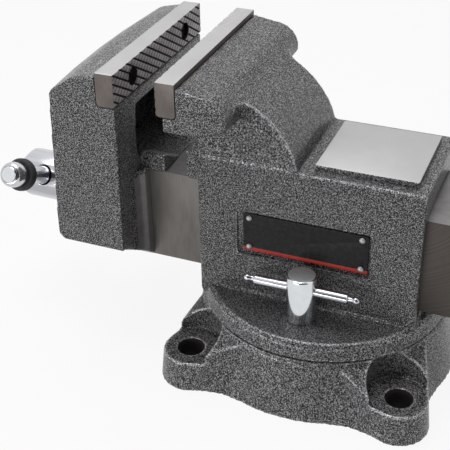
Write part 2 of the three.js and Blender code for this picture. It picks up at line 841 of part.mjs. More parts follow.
function movingJawBlock() {
  const points = jawStationShares.flatMap((share) => movingJawOutline(1 - share ** 2)
    .getPoints(cornerSteps)
    .map(({ x, y: z }) => new THREE.Vector3(x, share * jawWidth / 2, z)));
  const seat = box(
    [movingSeatX, movingFaceX + overrun],
    [-jawWidth / 2 - overrun, jawWidth / 2 + overrun],
    [plateBottomZ - fit, jawTopZ + overrun],
  );
  return cut(hullOf(points), seat);
}

// Outline in Y and Z of the part of the moving jaw that narrows down to the slide
function lowerJawOutline(topZ) {
  return roundedOutline([
    [-slideHalfWidth, slideBottomZ],
    [slideHalfWidth, slideBottomZ],
    [lowerJawWaistHalfWidth, slideBottomZ + lowerJawWaistRise],
    [lowerJawHalfWidth, jawToeZ],
    [lowerJawHalfWidth, topZ],
    [-lowerJawHalfWidth, topZ],
    [-lowerJawHalfWidth, jawToeZ],
    [-lowerJawWaistHalfWidth, slideBottomZ + lowerJawWaistRise],
  ]);
}

function lowerJaw() {
  const innerX = movingFaceX - plateProud - jawInnerLean;
  const block = alongX(lowerJawOutline(jawToeZ + jawToeCorner), lowerJawFrontX, innerX);
  const middleX = (innerX + neckEndX) / 2;
  const middleHalfWidth = neckHalfWidth + neckFlareShare * neckFlare;
  const neck = alongZ(roundedOutline([
    [innerX - overrun, -neckHalfWidth - neckFlare],
    [innerX, -neckHalfWidth - neckFlare],
    [middleX, -middleHalfWidth],
    [neckEndX, -neckHalfWidth],
    [neckEndX, neckHalfWidth],
    [middleX, middleHalfWidth],
    [innerX, neckHalfWidth + neckFlare],
    [innerX - overrun, neckHalfWidth + neckFlare],
  ]), slideBottomZ - overrun, slideTopZ + collarRise);
  const narrowing = alongX(lowerJawOutline(jawTopZ), innerX - overrun, neckEndX + overrun);
  return joined(block, neck.intersect(narrowing));
}

// Foot on top of the slide, against the moving jaw, with a valley along its middle
function jawFoot() {
  const backX = movingFaceX - plateProud - jawInnerLean;
  const topZ = slideTopZ + footHeight;
  const valleyZ = slideTopZ + footValleyRise;
  return alongX(roundedOutline([
    [-slideHalfWidth, slideTopZ - fit],
    [slideHalfWidth, slideTopZ - fit],
    [slideHalfWidth, topZ, footCorner],
    [footValleyHalfWidth, valleyZ],
    [-footValleyHalfWidth, valleyZ],
    [-slideHalfWidth, topZ, footCorner],
  ]), backX, footEndX);
}

function movingJaw() {
  const slide = box(
    [frontWallBackX, slideRearReach],
    [-slideHalfWidth, slideHalfWidth],
    [slideBottomZ, slideTopZ],
  );
  const boss = turnedAlongX([
    [0, bossEndX],
    [bossDiameter / 2 - bossDraft, bossEndX],
    [bossDiameter / 2, bossEndX + bossDraft],
    [bossDiameter / 2, lowerJawFrontX + overrun],
    [0, lowerJawFrontX + overrun],
  ], spindleZ);
  const inside = slideHalfWidth - slideWall;
  const spindleTunnel = box(
    [frontWallBackX, slideRearReach + overrun],
    [-inside, inside],
    [slideBottomZ - overrun, slideTopZ - slideWall],
  );
  const pocketTopZ = plateBottomZ - pocketTopDrop;
  const pocket = alongX(roundedOutline([
    [-pocketHalfWidth, pocketTopZ - pocketHeight, pocketCorner],
    [pocketHalfWidth, pocketTopZ - pocketHeight, pocketCorner],
    [pocketHalfWidth, pocketTopZ, bodyCorner],
    [-pocketHalfWidth, pocketTopZ, bodyCorner],
  ]), movingFaceX - pocketDepth, movingFaceX + overrun);
  const screwHoleEndX = movingSeatX - screwHoldLength;
  const screwHoles = screwPlaces.map((y) => level(
    screwDiameter + 2 * fit, screwHoleEndX, movingSeatX + overrun, y, screwZ, smallRoundSides));
  const bore = level(
    spindleShankDiameter + 2 * boreFit, bossEndX - overrun, frontWallBackX + overrun, 0, spindleZ);
  const jaw = cut(joined(movingJawBlock(), lowerJaw()), pocket);
  return cut(joined(jaw, slide, jawFoot(), boss), spindleTunnel, bore, ...screwHoles);
}

// Unit direction of the handle bar, towards its near end
const handleDirection = new THREE.Vector3(0, -Math.cos(handleTilt), Math.sin(handleTilt));

function acrossSpindle(diameter, length, x, direction, sides) {
  const geometry = new THREE.CylinderGeometry(diameter / 2, diameter / 2, length, sides);
  geometry.applyQuaternion(new THREE.Quaternion().setFromUnitVectors(new THREE.Vector3(0, 1, 0), direction));
  geometry.translate(x, 0, spindleZ);
  return solidOf(geometry);
}

const collarFaceX = frontWallBackX + fit;
const collarPinX = collarFaceX + collarLength / 2;
const collarPinDirection = new THREE.Vector3(0, 0, 1);

function spindle() {
  const headRadius = spindleHeadDiameter / 2;
  const backX = spindleHeadBackX;
  const shankEndX = collarFaceX + collarLength + fit;
  const body = turnedAlongX([
    [0, spindleHeadFrontX],
    [headRadius - spindleHeadFrontChamfer, spindleHeadFrontX],
    [headRadius, spindleHeadFrontX + spindleHeadFrontChamfer],
    [headRadius, backX - spindleHeadBackChamfer],
    [headRadius - spindleHeadBackChamfer, backX],
    [spindleShankDiameter / 2, backX],
    [spindleShankDiameter / 2, shankEndX],
    [spindleThreadDiameter / 2, shankEndX],
    [spindleThreadDiameter / 2, spindleTipX - spindleTipChamfer],
    [spindleThreadDiameter / 2 - spindleTipChamfer, spindleTipX],
    [0, spindleTipX],
  ], spindleZ);
  return cut(
    body,
    acrossSpindle(
      handleDiameter + 2 * runningFit, 2 * spindleHeadDiameter, handleX, handleDirection, roundSides),
    acrossSpindle(
      collarPinDiameter + 2 * fit, spindleHeadDiameter, collarPinX, collarPinDirection, smallRoundSides),
  );
}

function thrustWasher() {
  const backX = bossEndX - fit;
  const innerRadius = spindleShankDiameter / 2 + boreFit;
  return turnedAlongX([
    [innerRadius, backX - thrustWasherThickness],
    [thrustWasherDiameter / 2, backX - thrustWasherThickness],
    [thrustWasherDiameter / 2, backX],
    [innerRadius, backX],
    [innerRadius, backX - thrustWasherThickness],
  ], spindleZ);
}

function thrustCollar() {
  const innerRadius = spindleShankDiameter / 2 + fit;
  const ring = turnedAlongX([
    [innerRadius, collarFaceX],
    [collarDiameter / 2, collarFaceX],
    [collarDiameter / 2, collarFaceX + collarLength],
    [innerRadius, collarFaceX + collarLength],
    [innerRadius, collarFaceX],
  ], spindleZ);
  return cut(ring, acrossSpindle(
    collarPinDiameter + 2 * fit, 2 * collarDiameter, collarPinX, collarPinDirection, smallRoundSides));
}

function collarPin() {
  return acrossSpindle(
    collarPinDiameter, collarDiameter - 2 * fit, collarPinX, collarPinDirection, smallRoundSides);
}

function spindleNut() {
  const shape = new THREE.Shape();
  const bottomZ = floorZ + fit;
  shape.moveTo(-nutHalfWidth, bottomZ);
  shape.lineTo(nutHalfWidth, bottomZ);
  shape.lineTo(nutHalfWidth, spindleZ);
  shape.absarc(0, spindleZ, nutHalfWidth, 0, Math.PI, false);
  shape.closePath();
  const block = alongX(shape, nutFrontX, nutFrontX + nutLength);
  const bore = level(
    spindleThreadDiameter + 2 * boreFit, nutFrontX - overrun, nutFrontX + nutLength + overrun, 0, spindleZ);
  const boltHoleTopZ = floorZ + nutBoltReach + fit;
  const boltHole = upright(
    nutBoltDiameter + 2 * fit, bottomZ - overrun, boltHoleTopZ, nutCentreX, 0, smallRoundSides);
  return cut(block, bore, boltHole);
}

function nutBolt() {
  const headBottomZ = flangeBottomZ + nutBoltHeadSink;
  const headTopZ = headBottomZ + nutBoltHeadHeight;
  const acrossCorners = nutBoltHeadWidth / Math.cos(Math.PI / hexSides);
  return joined(
    upright(acrossCorners, headBottomZ, headTopZ, nutCentreX, 0, hexSides),
    upright(nutBoltDiameter, headTopZ - fit, floorZ + nutBoltReach, nutCentreX, 0, smallRoundSides),
  );
}

function lockBolt(x, y) {
  const headTopZ = baseHeight - slotLip - fit;
  return joined(
    upright(lockBoltHeadDiameter, headTopZ - lockBoltHeadHeight, headTopZ, x, y),
    upright(lockBoltDiameter, headTopZ - fit, flangeTopZ + lockBoltReach, x, y),
  );
}

function lockNut(x, y) {
  const bottomZ = flangeTopZ + fit;
  const topZ = bottomZ + lockNutHeight;
  const radius = lockNutDiameter / 2;
  const barZ = flangeTopZ + lockBarRise;
  const barrel = turned([
    [0, bottomZ],
    [radius - lockNutChamfer / 2, bottomZ],
    [radius, bottomZ + lockNutChamfer / 2],
    [radius, topZ - lockNutChamfer],
    [radius - lockNutChamfer, topZ],
    [0, topZ],
  ]).translate([x, y, 0]);
  return cut(
    barrel,
    upright(lockBoltDiameter + 2 * fit, bottomZ - overrun, bottomZ + lockNutThreadDepth, x, y),
    level(lockBarDiameter + 2 * fit, x - lockNutDiameter, x + lockNutDiameter, y, barZ, smallRoundSides),
  );
}

// Bar with a necked ball at each end
function lockBar(x, y) {
  const half = lockBarLength / 2;
  const ballRadius = lockBarBallDiameter / 2;
  const neckRadius = lockBarNeckDiameter / 2;
  const rodRadius = lockBarDiameter / 2;
  const neckInner = half - lockBarBallDiameter - lockBarNeckLength;
  const neckAngle = Math.asin(neckRadius / ballRadius);
  const end = [];
  for (let i = 0; i <= cornerSteps; i += 1) {
    const angle = (Math.PI - neckAngle) * i / cornerSteps;
    end.push([ballRadius * Math.sin(angle), half - ballRadius + ballRadius * Math.cos(angle)]);
  }
  const farHalf = [
    [rodRadius, neckInner - lockBarEdge],
    [rodRadius - lockBarEdge, neckInner],
    [neckRadius, neckInner],
    ...end.reverse(),
  ];
  const nearHalf = farHalf.map(([r, along]) => [r, -along]).reverse();
  return turnedAlongX([...nearHalf, ...farHalf], flangeTopZ + lockBarRise, smallRoundSides)
    .translate([x + lockBarShift, y, 0]);
}

function namePlate() {
  const shape = roundedOutline([
    [-namePlateLength / 2, -namePlateHeight / 2, namePlateCorner],
    [namePlateLength / 2, -namePlateHeight / 2, namePlateCorner],
    [namePlateLength / 2, namePlateHeight / 2, namePlateCorner],
    [-namePlateLength / 2, namePlateHeight / 2, namePlateCorner],
  ]);
  const plate = acrossY(shape, namePlateThickness / 2).translate([
    namePlateCentreX,
    -bodyHalfWidth + namePlateRecess - fit - namePlateThickness / 2,
    flangeTopZ + namePlateRise,
  ]);
  return cut(plate, ...rivetPlaces.map(rivetHole));
}

// Domed rivet along Y, seated on the name plate
function rivet([x, z]) {
  const headSeat = namePlateThickness - namePlateRecess + 2 * fit;
  const corners = [
    [0, -rivetLength],
    [rivetDiameter / 2, -rivetLength],
    [rivetDiameter / 2, headSeat],
  ];
  for (let i = 0; i < rivetDomeSteps; i += 1) {
    const angle = Math.PI / 2 * i / rivetDomeSteps;
    corners.push([
      rivetHeadDiameter / 2 * Math.cos(angle),
      headSeat + rivetHeadHeight * Math.sin(angle),
    ]);
  }
  corners.push([0, headSeat + rivetHeadHeight]);
  const geometry = turnedGeometry(corners, smallRoundSides);
  geometry.rotateX(Math.PI / 2);
  geometry.translate(x, -bodyHalfWidth, z);
  return solidOf(geometry);
}

// Pieces of the handle are drawn along their own Z axis, which the handle's group turns to the bar's tilt
const handle = new THREE.Group();
handle.position.set(handleX, 0, spindleZ);
handle.rotation.x = Math.PI / 2 - handleTilt;
vise.add(handle);

const barTop = handleNearEnd - knobLength - fit;
const barBottom = handleNearEnd - handleLength + knobLength + fit;

function handleBar() {
  const radius = handleDiameter / 2;
  const spigot = knobSpigotDiameter / 2;
  return turned([
    [0, barBottom - knobSpigotLength],
    [spigot, barBottom - knobSpigotLength],
    [spigot, barBottom],
    [radius, barBottom],
    [radius, barTop],
    [spigot, barTop],
    [spigot, barTop + knobSpigotLength],
    [0, barTop + knobSpigotLength],
  ]);
}

// Domed knob that starts at the bar's end and looks along +Z
function knob() {
  const radius = knobDiameter / 2;
  const holeRadius = knobSpigotDiameter / 2 + fit;
  const holeDepth = knobSpigotLength + fit;
  const corners = [
    [0, holeDepth],
    [holeRadius, holeDepth],
    [holeRadius, 0],
    [radius, 0],
    [radius, knobLength - knobDome],
  ];
  for (let i = 1; i <= cornerSteps; i += 1) {
    const angle = Math.PI / 2 * i / cornerSteps;
    corners.push([
      knobFace / 2 + (radius - knobFace / 2) * Math.cos(angle),
      knobLength - knobDome + knobDome * Math.sin(angle),
    ]);
  }
  corners.push([0, knobLength]);
  return turned(corners);
}

// Rubber ring round the bar, from its z to one ring's width above it
function knobRing(z) {
  const inner = handleDiameter / 2 + fit;
  const outer = ringDiameter / 2;
  return turned([
    [inner, z],
    [outer - ringEdge, z],
    [outer, z + ringEdge],
    [outer, z + ringWidth - ringEdge],
    [outer - ringEdge, z + ringWidth],
    [inner, z + ringWidth],
    [inner, z],
  ]);
}

addPiece('swivel_base', swivelBase(), hammeredPaint());
addPiece('pivot_pin', pivotPin(), darkSteel());
addPiece('vise_body', viseBody(), hammeredPaint());
addPiece('fixed_jaw_plate', jawPlate(fixedFaceX, -1), groundSteel());
addPiece('moving_jaw', movingJaw(), hammeredPaint());
addPiece('moving_jaw_plate', jawPlate(movingFaceX, 1), groundSteel());
screwPlaces.forEach((y, i) => {
  const side = ['near', 'far'][i];
  addPiece(`fixed_jaw_screw_${side}`, jawScrew(fixedFaceX, -1, y), darkSteel());
  addPiece(`moving_jaw_screw_${side}`, jawScrew(movingFaceX, 1, y), darkSteel());
});
addPiece('spindle', spindle(), chromedSteel());
addPiece('thrust_washer', thrustWasher(), darkSteel());
addPiece('thrust_collar', thrustCollar(), darkSteel());
addPiece('collar_pin', collarPin(), darkSteel());
addPiece('spindle_nut', spindleNut(), bronze());
addPiece('spindle_nut_bolt', nutBolt(), darkSteel());
lockPlaces.forEach(([x, y], i) => {
  const side = ['front', 'rear'][i];
  addPiece(`lock_bolt_${side}`, lockBolt(x, y), darkSteel());
  addPiece(`lock_nut_${side}`, lockNut(x, y), chromedSteel());
  addPiece(`lock_bar_${side}`, lockBar(x, y), chromedSteel());
});
addPiece('name_plate', namePlate(), blackEnamel());
rivetPlaces.forEach((place, i) => addPiece(`name_plate_rivet_${i + 1}`, rivet(place), groundSteel()));
addPiece('handle_bar', handleBar(), chromedSteel(), handle);
addPiece('handle_knob_near', knob().translate([0, 0, barTop + fit]), chromedSteel(), handle);
const farKnob = knob().rotate([180, 0, 0]).translate([0, 0, barBottom - fit]);
addPiece('handle_knob_far', farKnob, chromedSteel(), handle);
addPiece('knob_ring_near', knobRing(barTop - ringWidth), blackRubber(), handle);
addPiece('knob_ring_far', knobRing(barBottom), blackRubber(), handle);

export default vise;
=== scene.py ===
"""Looks of the swivel bench vise: castings, machined faces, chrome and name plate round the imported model."""

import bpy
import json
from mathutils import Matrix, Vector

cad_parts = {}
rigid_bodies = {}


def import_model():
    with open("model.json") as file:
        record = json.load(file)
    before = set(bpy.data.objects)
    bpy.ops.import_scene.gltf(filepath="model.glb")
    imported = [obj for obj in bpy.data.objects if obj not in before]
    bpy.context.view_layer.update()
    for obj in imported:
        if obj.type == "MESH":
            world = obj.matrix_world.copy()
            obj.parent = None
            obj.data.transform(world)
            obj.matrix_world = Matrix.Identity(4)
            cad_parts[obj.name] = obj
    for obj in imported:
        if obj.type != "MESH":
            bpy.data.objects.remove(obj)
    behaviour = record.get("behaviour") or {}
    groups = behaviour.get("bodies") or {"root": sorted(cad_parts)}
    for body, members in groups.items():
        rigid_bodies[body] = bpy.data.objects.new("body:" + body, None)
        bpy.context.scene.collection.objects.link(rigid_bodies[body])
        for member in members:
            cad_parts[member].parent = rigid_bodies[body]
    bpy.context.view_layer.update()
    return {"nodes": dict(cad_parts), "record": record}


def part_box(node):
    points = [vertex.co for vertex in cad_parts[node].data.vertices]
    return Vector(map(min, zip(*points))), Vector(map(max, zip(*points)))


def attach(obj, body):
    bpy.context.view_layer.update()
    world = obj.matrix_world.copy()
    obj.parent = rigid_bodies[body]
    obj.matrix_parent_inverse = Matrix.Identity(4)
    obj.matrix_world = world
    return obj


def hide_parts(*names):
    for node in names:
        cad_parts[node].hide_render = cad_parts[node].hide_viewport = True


bl_info = {
    "name": "Swivel Bench Vise",
    "version": (1, 0, 0),
    "blender": (4, 5, 0),
    "location": "View3D > Sidebar > Vise",
    "description": "Models and finishes the pieces of a swivel bench vise round its packed frame",
    "category": "Object",
}

import json
import math
from contextlib import contextmanager

import bmesh
import bpy
import numpy as np
from bpy.props import FloatProperty, FloatVectorProperty, IntProperty, PointerProperty
from mathutils import Matrix, Vector

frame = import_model()

MM = 0.001
RIGHT_ANGLE = math.pi / 2
ALONG_X = Vector((1, 0, 0))
UPRIGHT = Vector((0, 0, 1))
ROUND_SIDES = 72
SMALL_ROUND_SIDES = 40
DOME_STEPS = 8
MERGE_DISTANCE = 0.01 * MM
TOLERANCE = 0.1 * MM
FLAT_ANGLE = math.radians(0.5)
SQUARE_ON = 0.9


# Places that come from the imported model

def low(node):
    return Vector(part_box(node)[0])


def high(node):
    return Vector(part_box(node)[1])


def middle(node):
    return (low(node) + high(node)) / 2


def size(node):
    return high(node) - low(node)


# Modelling steps shared by the pieces

def deselect_all():
    for other in bpy.context.view_layer.objects:
        other.select_set(False)


def select_only(piece):
    """Make one object the only selected and the active one."""
    deselect_all()
    piece.select_set(True)
    bpy.context.view_layer.objects.active = piece


@contextmanager
def editing(piece):
    """Edit mode on one object, with its whole mesh selected."""
    select_only(piece)
    bpy.ops.object.mode_set(mode="EDIT")
    bpy.ops.mesh.select_all(action="SELECT")
    yield
    bpy.ops.object.mode_set(mode="OBJECT")


def name_piece(piece, name):
    piece.name = name
    piece.data.name = name
    return piece


def settle(piece):
    """Put an object's place, turn and scale into its mesh."""
    select_only(piece)
    bpy.ops.object.transform_apply(location=True, rotation=True, scale=True)
    return piece


def apply_modifier(piece, kind, **settings):
    """Add a modifier with these settings and apply it."""
    select_only(piece)
    modifier = piece.modifiers.new(kind.title(), kind)
    for key, value in settings.items():
        setattr(modifier, key, value)
    bpy.ops.object.modifier_apply(modifier=modifier.name)
    return piece


def carve(piece, cutter):
    """Cut one closed shape out of another and drop the cutter."""
    apply_modifier(piece, "BOOLEAN", operation="DIFFERENCE", solver="EXACT", object=cutter)
    bpy.data.objects.remove(cutter)
    return piece


def copy_of_node(node, name):
    """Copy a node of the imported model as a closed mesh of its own."""
    source = frame["nodes"][node]
    piece = bpy.data.objects.new(name, source.data.copy())
    piece.data.name = name
    piece.data.materials.clear()
    bpy.context.scene.collection.objects.link(piece)
    with editing(piece):
        bpy.ops.mesh.remove_doubles(threshold=MERGE_DISTANCE)
        bpy.ops.mesh.dissolve_limited(angle_limit=FLAT_ANGLE)
    return piece


def block(corner, far_corner, name="Block"):
    """Add a box between two corners."""
    corner, far_corner = Vector(corner), Vector(far_corner)
    deselect_all()
    bpy.ops.mesh.primitive_cube_add(size=1, location=(corner + far_corner) / 2)
    piece = bpy.context.active_object
    piece.scale = far_corner - corner
    return name_piece(settle(piece), name)


def round_bar(radius, start, end, sides=ROUND_SIDES, name="Bar"):
    """Add a plain cylinder from one point to another."""
    start, end = Vector(start), Vector(end)
    deselect_all()
    bpy.ops.mesh.primitive_cylinder_add(vertices=sides, radius=radius, depth=(end - start).length,
                                        location=(start + end) / 2)
    piece = bpy.context.active_object
    piece.rotation_euler = (end - start).to_track_quat("Z", "Y").to_euler()
    return name_piece(settle(piece), name)


def rounded_block(corner, far_corner, radius):
    """Add a box between two corners, with its four edges along Y rounded."""
    piece = block(corner, far_corner)
    with editing(piece):
        bpy.ops.mesh.select_mode(type="EDGE")
        bpy.ops.mesh.select_all(action="DESELECT")
        for edge in bmesh.from_edit_mesh(piece.data).edges:
            start, end = (vertex.co for vertex in edge.verts)
            if abs(end.y - start.y) > (end - start).length / 2:
                edge.select_set(True)
        bmesh.update_edit_mesh(piece.data)
        bpy.ops.mesh.bevel(offset=radius, segments=4, affect="EDGES")
    return piece


def turned(name, steps, start, direction, sides=ROUND_SIDES):
    """Add a round piece: a disc extruded along its axis and resized at each (radius, distance) step."""
    radius, reach = steps[0]
    deselect_all()
    bpy.ops.mesh.primitive_circle_add(vertices=sides, radius=radius, fill_type="NGON", location=(0, 0, reach))
    piece = settle(bpy.context.active_object)
    with editing(piece):
        bpy.ops.mesh.select_mode(type="FACE")
        for next_radius, next_reach in steps[1:]:
            bpy.ops.mesh.extrude_region_move(TRANSFORM_OT_translate={"value": (0, 0, next_reach - reach)})
            share = next_radius / radius
            bpy.ops.transform.resize(value=(share, share, 1), center_override=(0, 0, next_reach))
            radius, reach = next_radius, next_reach
        bpy.ops.mesh.select_all(action="SELECT")
        bpy.ops.mesh.normals_make_consistent(inside=False)
    piece.rotation_euler = Vector(direction).to_track_quat("Z", "Y").to_euler()
    piece.location = start
    return name_piece(settle(piece), name)


def join(name, *pieces):
    """Join pieces into one object."""
    deselect_all()
    for piece in pieces:
        piece.select_set(True)
    bpy.context.view_layer.objects.active = pieces[0]
    bpy.ops.object.join()
    return name_piece(pieces[0], name)


def soften_edges(piece, width, segments=2, angle=30):
    """Round the edges that are sharper than the angle, in degrees."""
    return apply_modifier(piece, "BEVEL", width=width, segments=segments, limit_method="ANGLE",
                          angle_limit=math.radians(angle), harden_normals=False)


def smooth(piece, angle=35):
    select_only(piece)
    bpy.ops.object.shade_smooth_by_angle(angle=math.radians(angle))
    return piece


def cut_line(piece, place_x):
    """Part the skin's faces along an upright line, so that two finishes can meet there."""
    with editing(piece):
        bpy.ops.mesh.bisect(plane_co=(place_x, 0, 0), plane_no=ALONG_X)


def assign_where(piece, slot_index, test):
    """Give the faces whose middle and normal pass the test one of the piece's materials."""
    with editing(piece):
        for face in bmesh.from_edit_mesh(piece.data).faces:
            if test(face.calc_center_median(), face.normal):
                face.material_index = slot_index
        bmesh.update_edit_mesh(piece.data)


def dome(radius, height):
    """Points of a quarter ellipse from its foot, as radius and height, up to just short of its top."""
    angles = [RIGHT_ANGLE * step / DOME_STEPS for step in range(1, DOME_STEPS)]
    return [(radius * math.cos(angle), height * math.sin(angle)) for angle in angles]


def hand_over(piece, body, makers, replaced=()):
    """Give a finished piece its materials, the body that it rides on and the nodes that it stands for."""
    piece.data.materials.clear()
    for maker in makers:
        piece.data.materials.append(finish(maker))
    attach(piece, body)
    if replaced:
        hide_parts(*replaced)
    return piece


# Materials

class Finish:
    """A new material and the node calls that its finish is built with."""

    def __init__(self, name):
        self.material = bpy.data.materials.new(name)
        self.material.use_nodes = True
        self.tree = self.material.node_tree
        self.shader = self.tree.nodes["Principled BSDF"]
        self.place = self.add("ShaderNodeTexCoord").outputs["Object"]

    def add(self, kind, **settings):
        node = self.tree.nodes.new(kind)
        for key, value in settings.items():
            setattr(node, key, value)
        return node

    def link(self, output, target):
        if isinstance(output, (int, float, tuple, list)):
            target.default_value = output
        else:
            self.tree.links.new(output, target)

    def surface(self, **inputs):
        """Set or link the shader's own sockets."""
        for key, value in inputs.items():
            self.link(value, self.shader.inputs[key.replace("_", " ")])

    def math(self, operation, first, second=0.0, clamp=False):
        node = self.add("ShaderNodeMath", operation=operation, use_clamp=clamp)
        self.link(first, node.inputs[0])
        self.link(second, node.inputs[1])
        return node.outputs[0]

    def stretched(self, scale):
        """Object coordinates, stretched along each axis."""
        node = self.add("ShaderNodeMapping")
        node.inputs["Scale"].default_value = scale
        self.link(self.place, node.inputs["Vector"])
        return node.outputs[0]

    def axes(self):
        node = self.add("ShaderNodeSeparateXYZ")
        self.link(self.place, node.inputs[0])
        return node.outputs

    def rings(self, centre_x, centre_z, scale):
        """Distance from a line along Y, stretched, as the place for a pattern of rings."""
        x, _, z = self.axes()[:3]
        x = self.math("SUBTRACT", x, centre_x)
        z = self.math("SUBTRACT", z, centre_z)
        reach = self.math("SQRT", self.math("ADD", self.math("MULTIPLY", x, x), self.math("MULTIPLY", z, z)))
        node = self.add("ShaderNodeCombineXYZ")
        self.link(self.math("MULTIPLY", reach, scale), node.inputs[0])
        return node.outputs[0]

    def noise(self, scale, detail=2.0, roughness=0.5, place=None, distortion=0.0):
        node = self.add("ShaderNodeTexNoise")
        self.link(place or self.place, node.inputs["Vector"])
        node.inputs["Scale"].default_value = scale
        node.inputs["Detail"].default_value = detail
        node.inputs["Roughness"].default_value = roughness
        node.inputs["Distortion"].default_value = distortion
        return node.outputs["Fac"]

    def levels(self, value, lowest, highest, to_lowest=0.0, to_highest=1.0):
        """Stretch a value from one range to another, without leaving it."""
        node = self.add("ShaderNodeMapRange")
        for socket, number in zip(node.inputs[1:5], (lowest, highest, to_lowest, to_highest)):
            socket.default_value = number
        self.link(value, node.inputs[0])
        return node.outputs[0]

    def blend(self, share, first, second, kind="MIX"):
        node = self.add("ShaderNodeMix", data_type="RGBA", blend_type=kind)
        self.link(share, node.inputs[0])
        self.link(first, node.inputs[6])
        self.link(second, node.inputs[7])
        return node.outputs[2]

    def tones(self, value, span, colour, tints):
        """Go from one tint of a colour to another as a value crosses its span."""
        return self.blend(self.levels(value, *span), *(tinted(colour, tint) for tint in tints))

    def bump(self, height, distance, strength):
        node = self.add("ShaderNodeBump")
        node.inputs["Strength"].default_value = strength
        node.inputs["Distance"].default_value = distance
        self.link(height, node.inputs["Height"])
        return node.outputs[0]


def tinted(colour, share=1.0):
    """Opaque colour, darker or lighter than the given one."""
    return (*(channel * share for channel in colour), 1.0)


EDGE_LIGHT_ATTRIBUTE = "edge"
REAR_SHADE_SPAN = (20 * MM, 70 * MM)
CUTTER_CENTRE = (45 * MM, 190 * MM)
BRONZE_DARK = (0.17, 0.10, 0.04)
BRONZE_LIGHT = (0.40, 0.26, 0.11)
PLATE_HAZE = (0.11, 0.11, 0.115)

made_finishes = {}


def finish(maker):
    """The material that a maker function builds, made once."""
    if maker not in made_finishes:
        made_finishes[maker] = maker(bpy.context.scene.bench_vise)
    return made_finishes[maker]


def hammered_enamel(vise):
    """Dark grey hammered enamel: light flecks on a darker ground, with a painted highlight of denser, lighter
    flecks on edges and painted shade of sparser flecks in hollows.
    """
    paint = vise.castings
    f = Finish("Hammered enamel")
    scale = 1 / paint.fleck_size
    bend = f.add("ShaderNodeAttribute", attribute_name=EDGE_LIGHT_ATTRIBUTE).outputs["Fac"]
    # Painted highlight on edges and painted shade in hollows, both read from the skin's bend
    edges = f.levels(bend, 0.06, 0.35)
    hollows = f.levels(bend, -0.04, -0.30)
    shift = f.math("SUBTRACT", f.math("MULTIPLY", edges, 0.075), f.math("MULTIPLY", hollows, 0.07))
    grain = f.noise(scale, 1.0, 0.5, distortion=0.8)
    worms = f.levels(f.math("ADD", grain, shift), 0.525, 0.565)
    strength = f.levels(f.noise(scale * 0.37, 2.0, 0.6), 0.3, 0.7, 0.5, 1.25)
    flecks = f.math("MULTIPLY", worms, strength, clamp=True)
    # Painted highlight: flecks on edges take the lighter edge colour
    lit = f.blend(edges, tinted(paint.fleck_colour), tinted(paint.edge_highlight_colour))
    colour = f.blend(flecks, tinted(paint.ground_colour), lit)
    roughness = f.levels(f.noise(scale * 0.3, 2.0), 0.3, 0.7, 0.26, 0.38)
    skin = f.bump(worms, 0.2 * MM, 0.75)
    f.surface(Base_Color=colour, Metallic=f.math("MULTIPLY", flecks, paint.fleck_metal), Roughness=roughness,
              Normal=skin, Specular_IOR_Level=0.35)
    return f.material


def machined_iron(vise):
    """Bare milled iron: upright streaks in front and the cutter's arcs towards the rear, with painted shade
    that darkens the rear.
    """
    f = Finish("Machined iron")
    rear = f.levels(f.axes()[0], *REAR_SHADE_SPAN)
    upright = f.noise(1, 4.0, 0.65, place=f.stretched((2200, 2200, 60)))
    arcs = f.noise(1, 3.0, 0.6, place=f.rings(*CUTTER_CENTRE, 750))
    streaks = f.math("ADD", f.math("MULTIPLY", upright, f.math("SUBTRACT", 1.0, rear)),
                     f.math("MULTIPLY", arcs, rear))
    clouds = f.noise(38, 4.0, 0.6, place=f.stretched((1, 1, 0.45)))
    tone = f.blend(f.levels(rear, 0, 1, 0.4, 0.8), f.levels(clouds, 0.3, 0.7), f.levels(streaks, 0.3, 0.7))
    colour = f.blend(tone, tinted(vise.steel.iron_dark), tinted(vise.steel.iron_light))
    # Painted shade: the rear of the slide is darkened with the rear shade tint
    colour = f.blend(rear, colour, tinted(vise.steel.rear_shade_tint), "MULTIPLY")
    f.surface(Base_Color=colour, Metallic=0.75, Roughness=f.levels(streaks, 0.2, 0.8, 0.38, 0.56),
              Normal=f.bump(streaks, 0.05 * MM, 0.5))
    return f.material


def marked_metal(name, colour, *, tints, marks, clouds, metal, rough, relief, grain=0.65, share=0.5,
                 span=(0.35, 0.65), rough_span=(0.2, 0.8)):
    """Bare metal with marks that are drawn out along an axis, over soft clouds."""
    f = Finish(name)
    lines = f.noise(1, 4.0, grain, place=f.stretched(marks))
    tone = f.math("ADD", f.math("MULTIPLY", lines, share), f.math("MULTIPLY", f.noise(*clouds), 1 - share))
    f.surface(Base_Color=f.tones(tone, span, colour, tints), Metallic=metal,
              Roughness=f.levels(lines, *rough_span, *rough), Normal=f.bump(lines, *relief))
    return f.material


def wiped_iron(vise):
    """Machined iron wiped clean, on the slide's top and at its start."""
    return marked_metal("Wiped iron", vise.steel.wiped_colour, tints=(0.7, 1.1), marks=(90, 1800, 1800),
                        clouds=(70, 4.0, 0.6), metal=0.5, rough=(0.36, 0.5), relief=(0.03 * MM, 0.4),
                        rough_span=(0.25, 0.75))


def ground_steel(vise):
    """Bright ground steel with fine lines along the jaws."""
    return marked_metal("Ground steel", vise.steel.ground_colour, tints=(0.86, 1.0), marks=(2600, 90, 2600),
                        clouds=(30, 3.0, 0.5), metal=0.8, rough=(0.42, 0.56), relief=(0.02 * MM, 0.4),
                        grain=0.7, share=0.3, span=(0.3, 0.7), rough_span=(0.25, 0.75))


def sawn_steel(vise):
    """Warm grey steel of the plates' ends, with marks up and down."""
    return marked_metal("Sawn steel", vise.steel.sawn_colour, tints=(0.6, 1.1), marks=(2000, 2000, 110),
                        clouds=(60, 3.0, 0.55), metal=0.7, rough=(0.4, 0.6), relief=(0.04 * MM, 0.5))


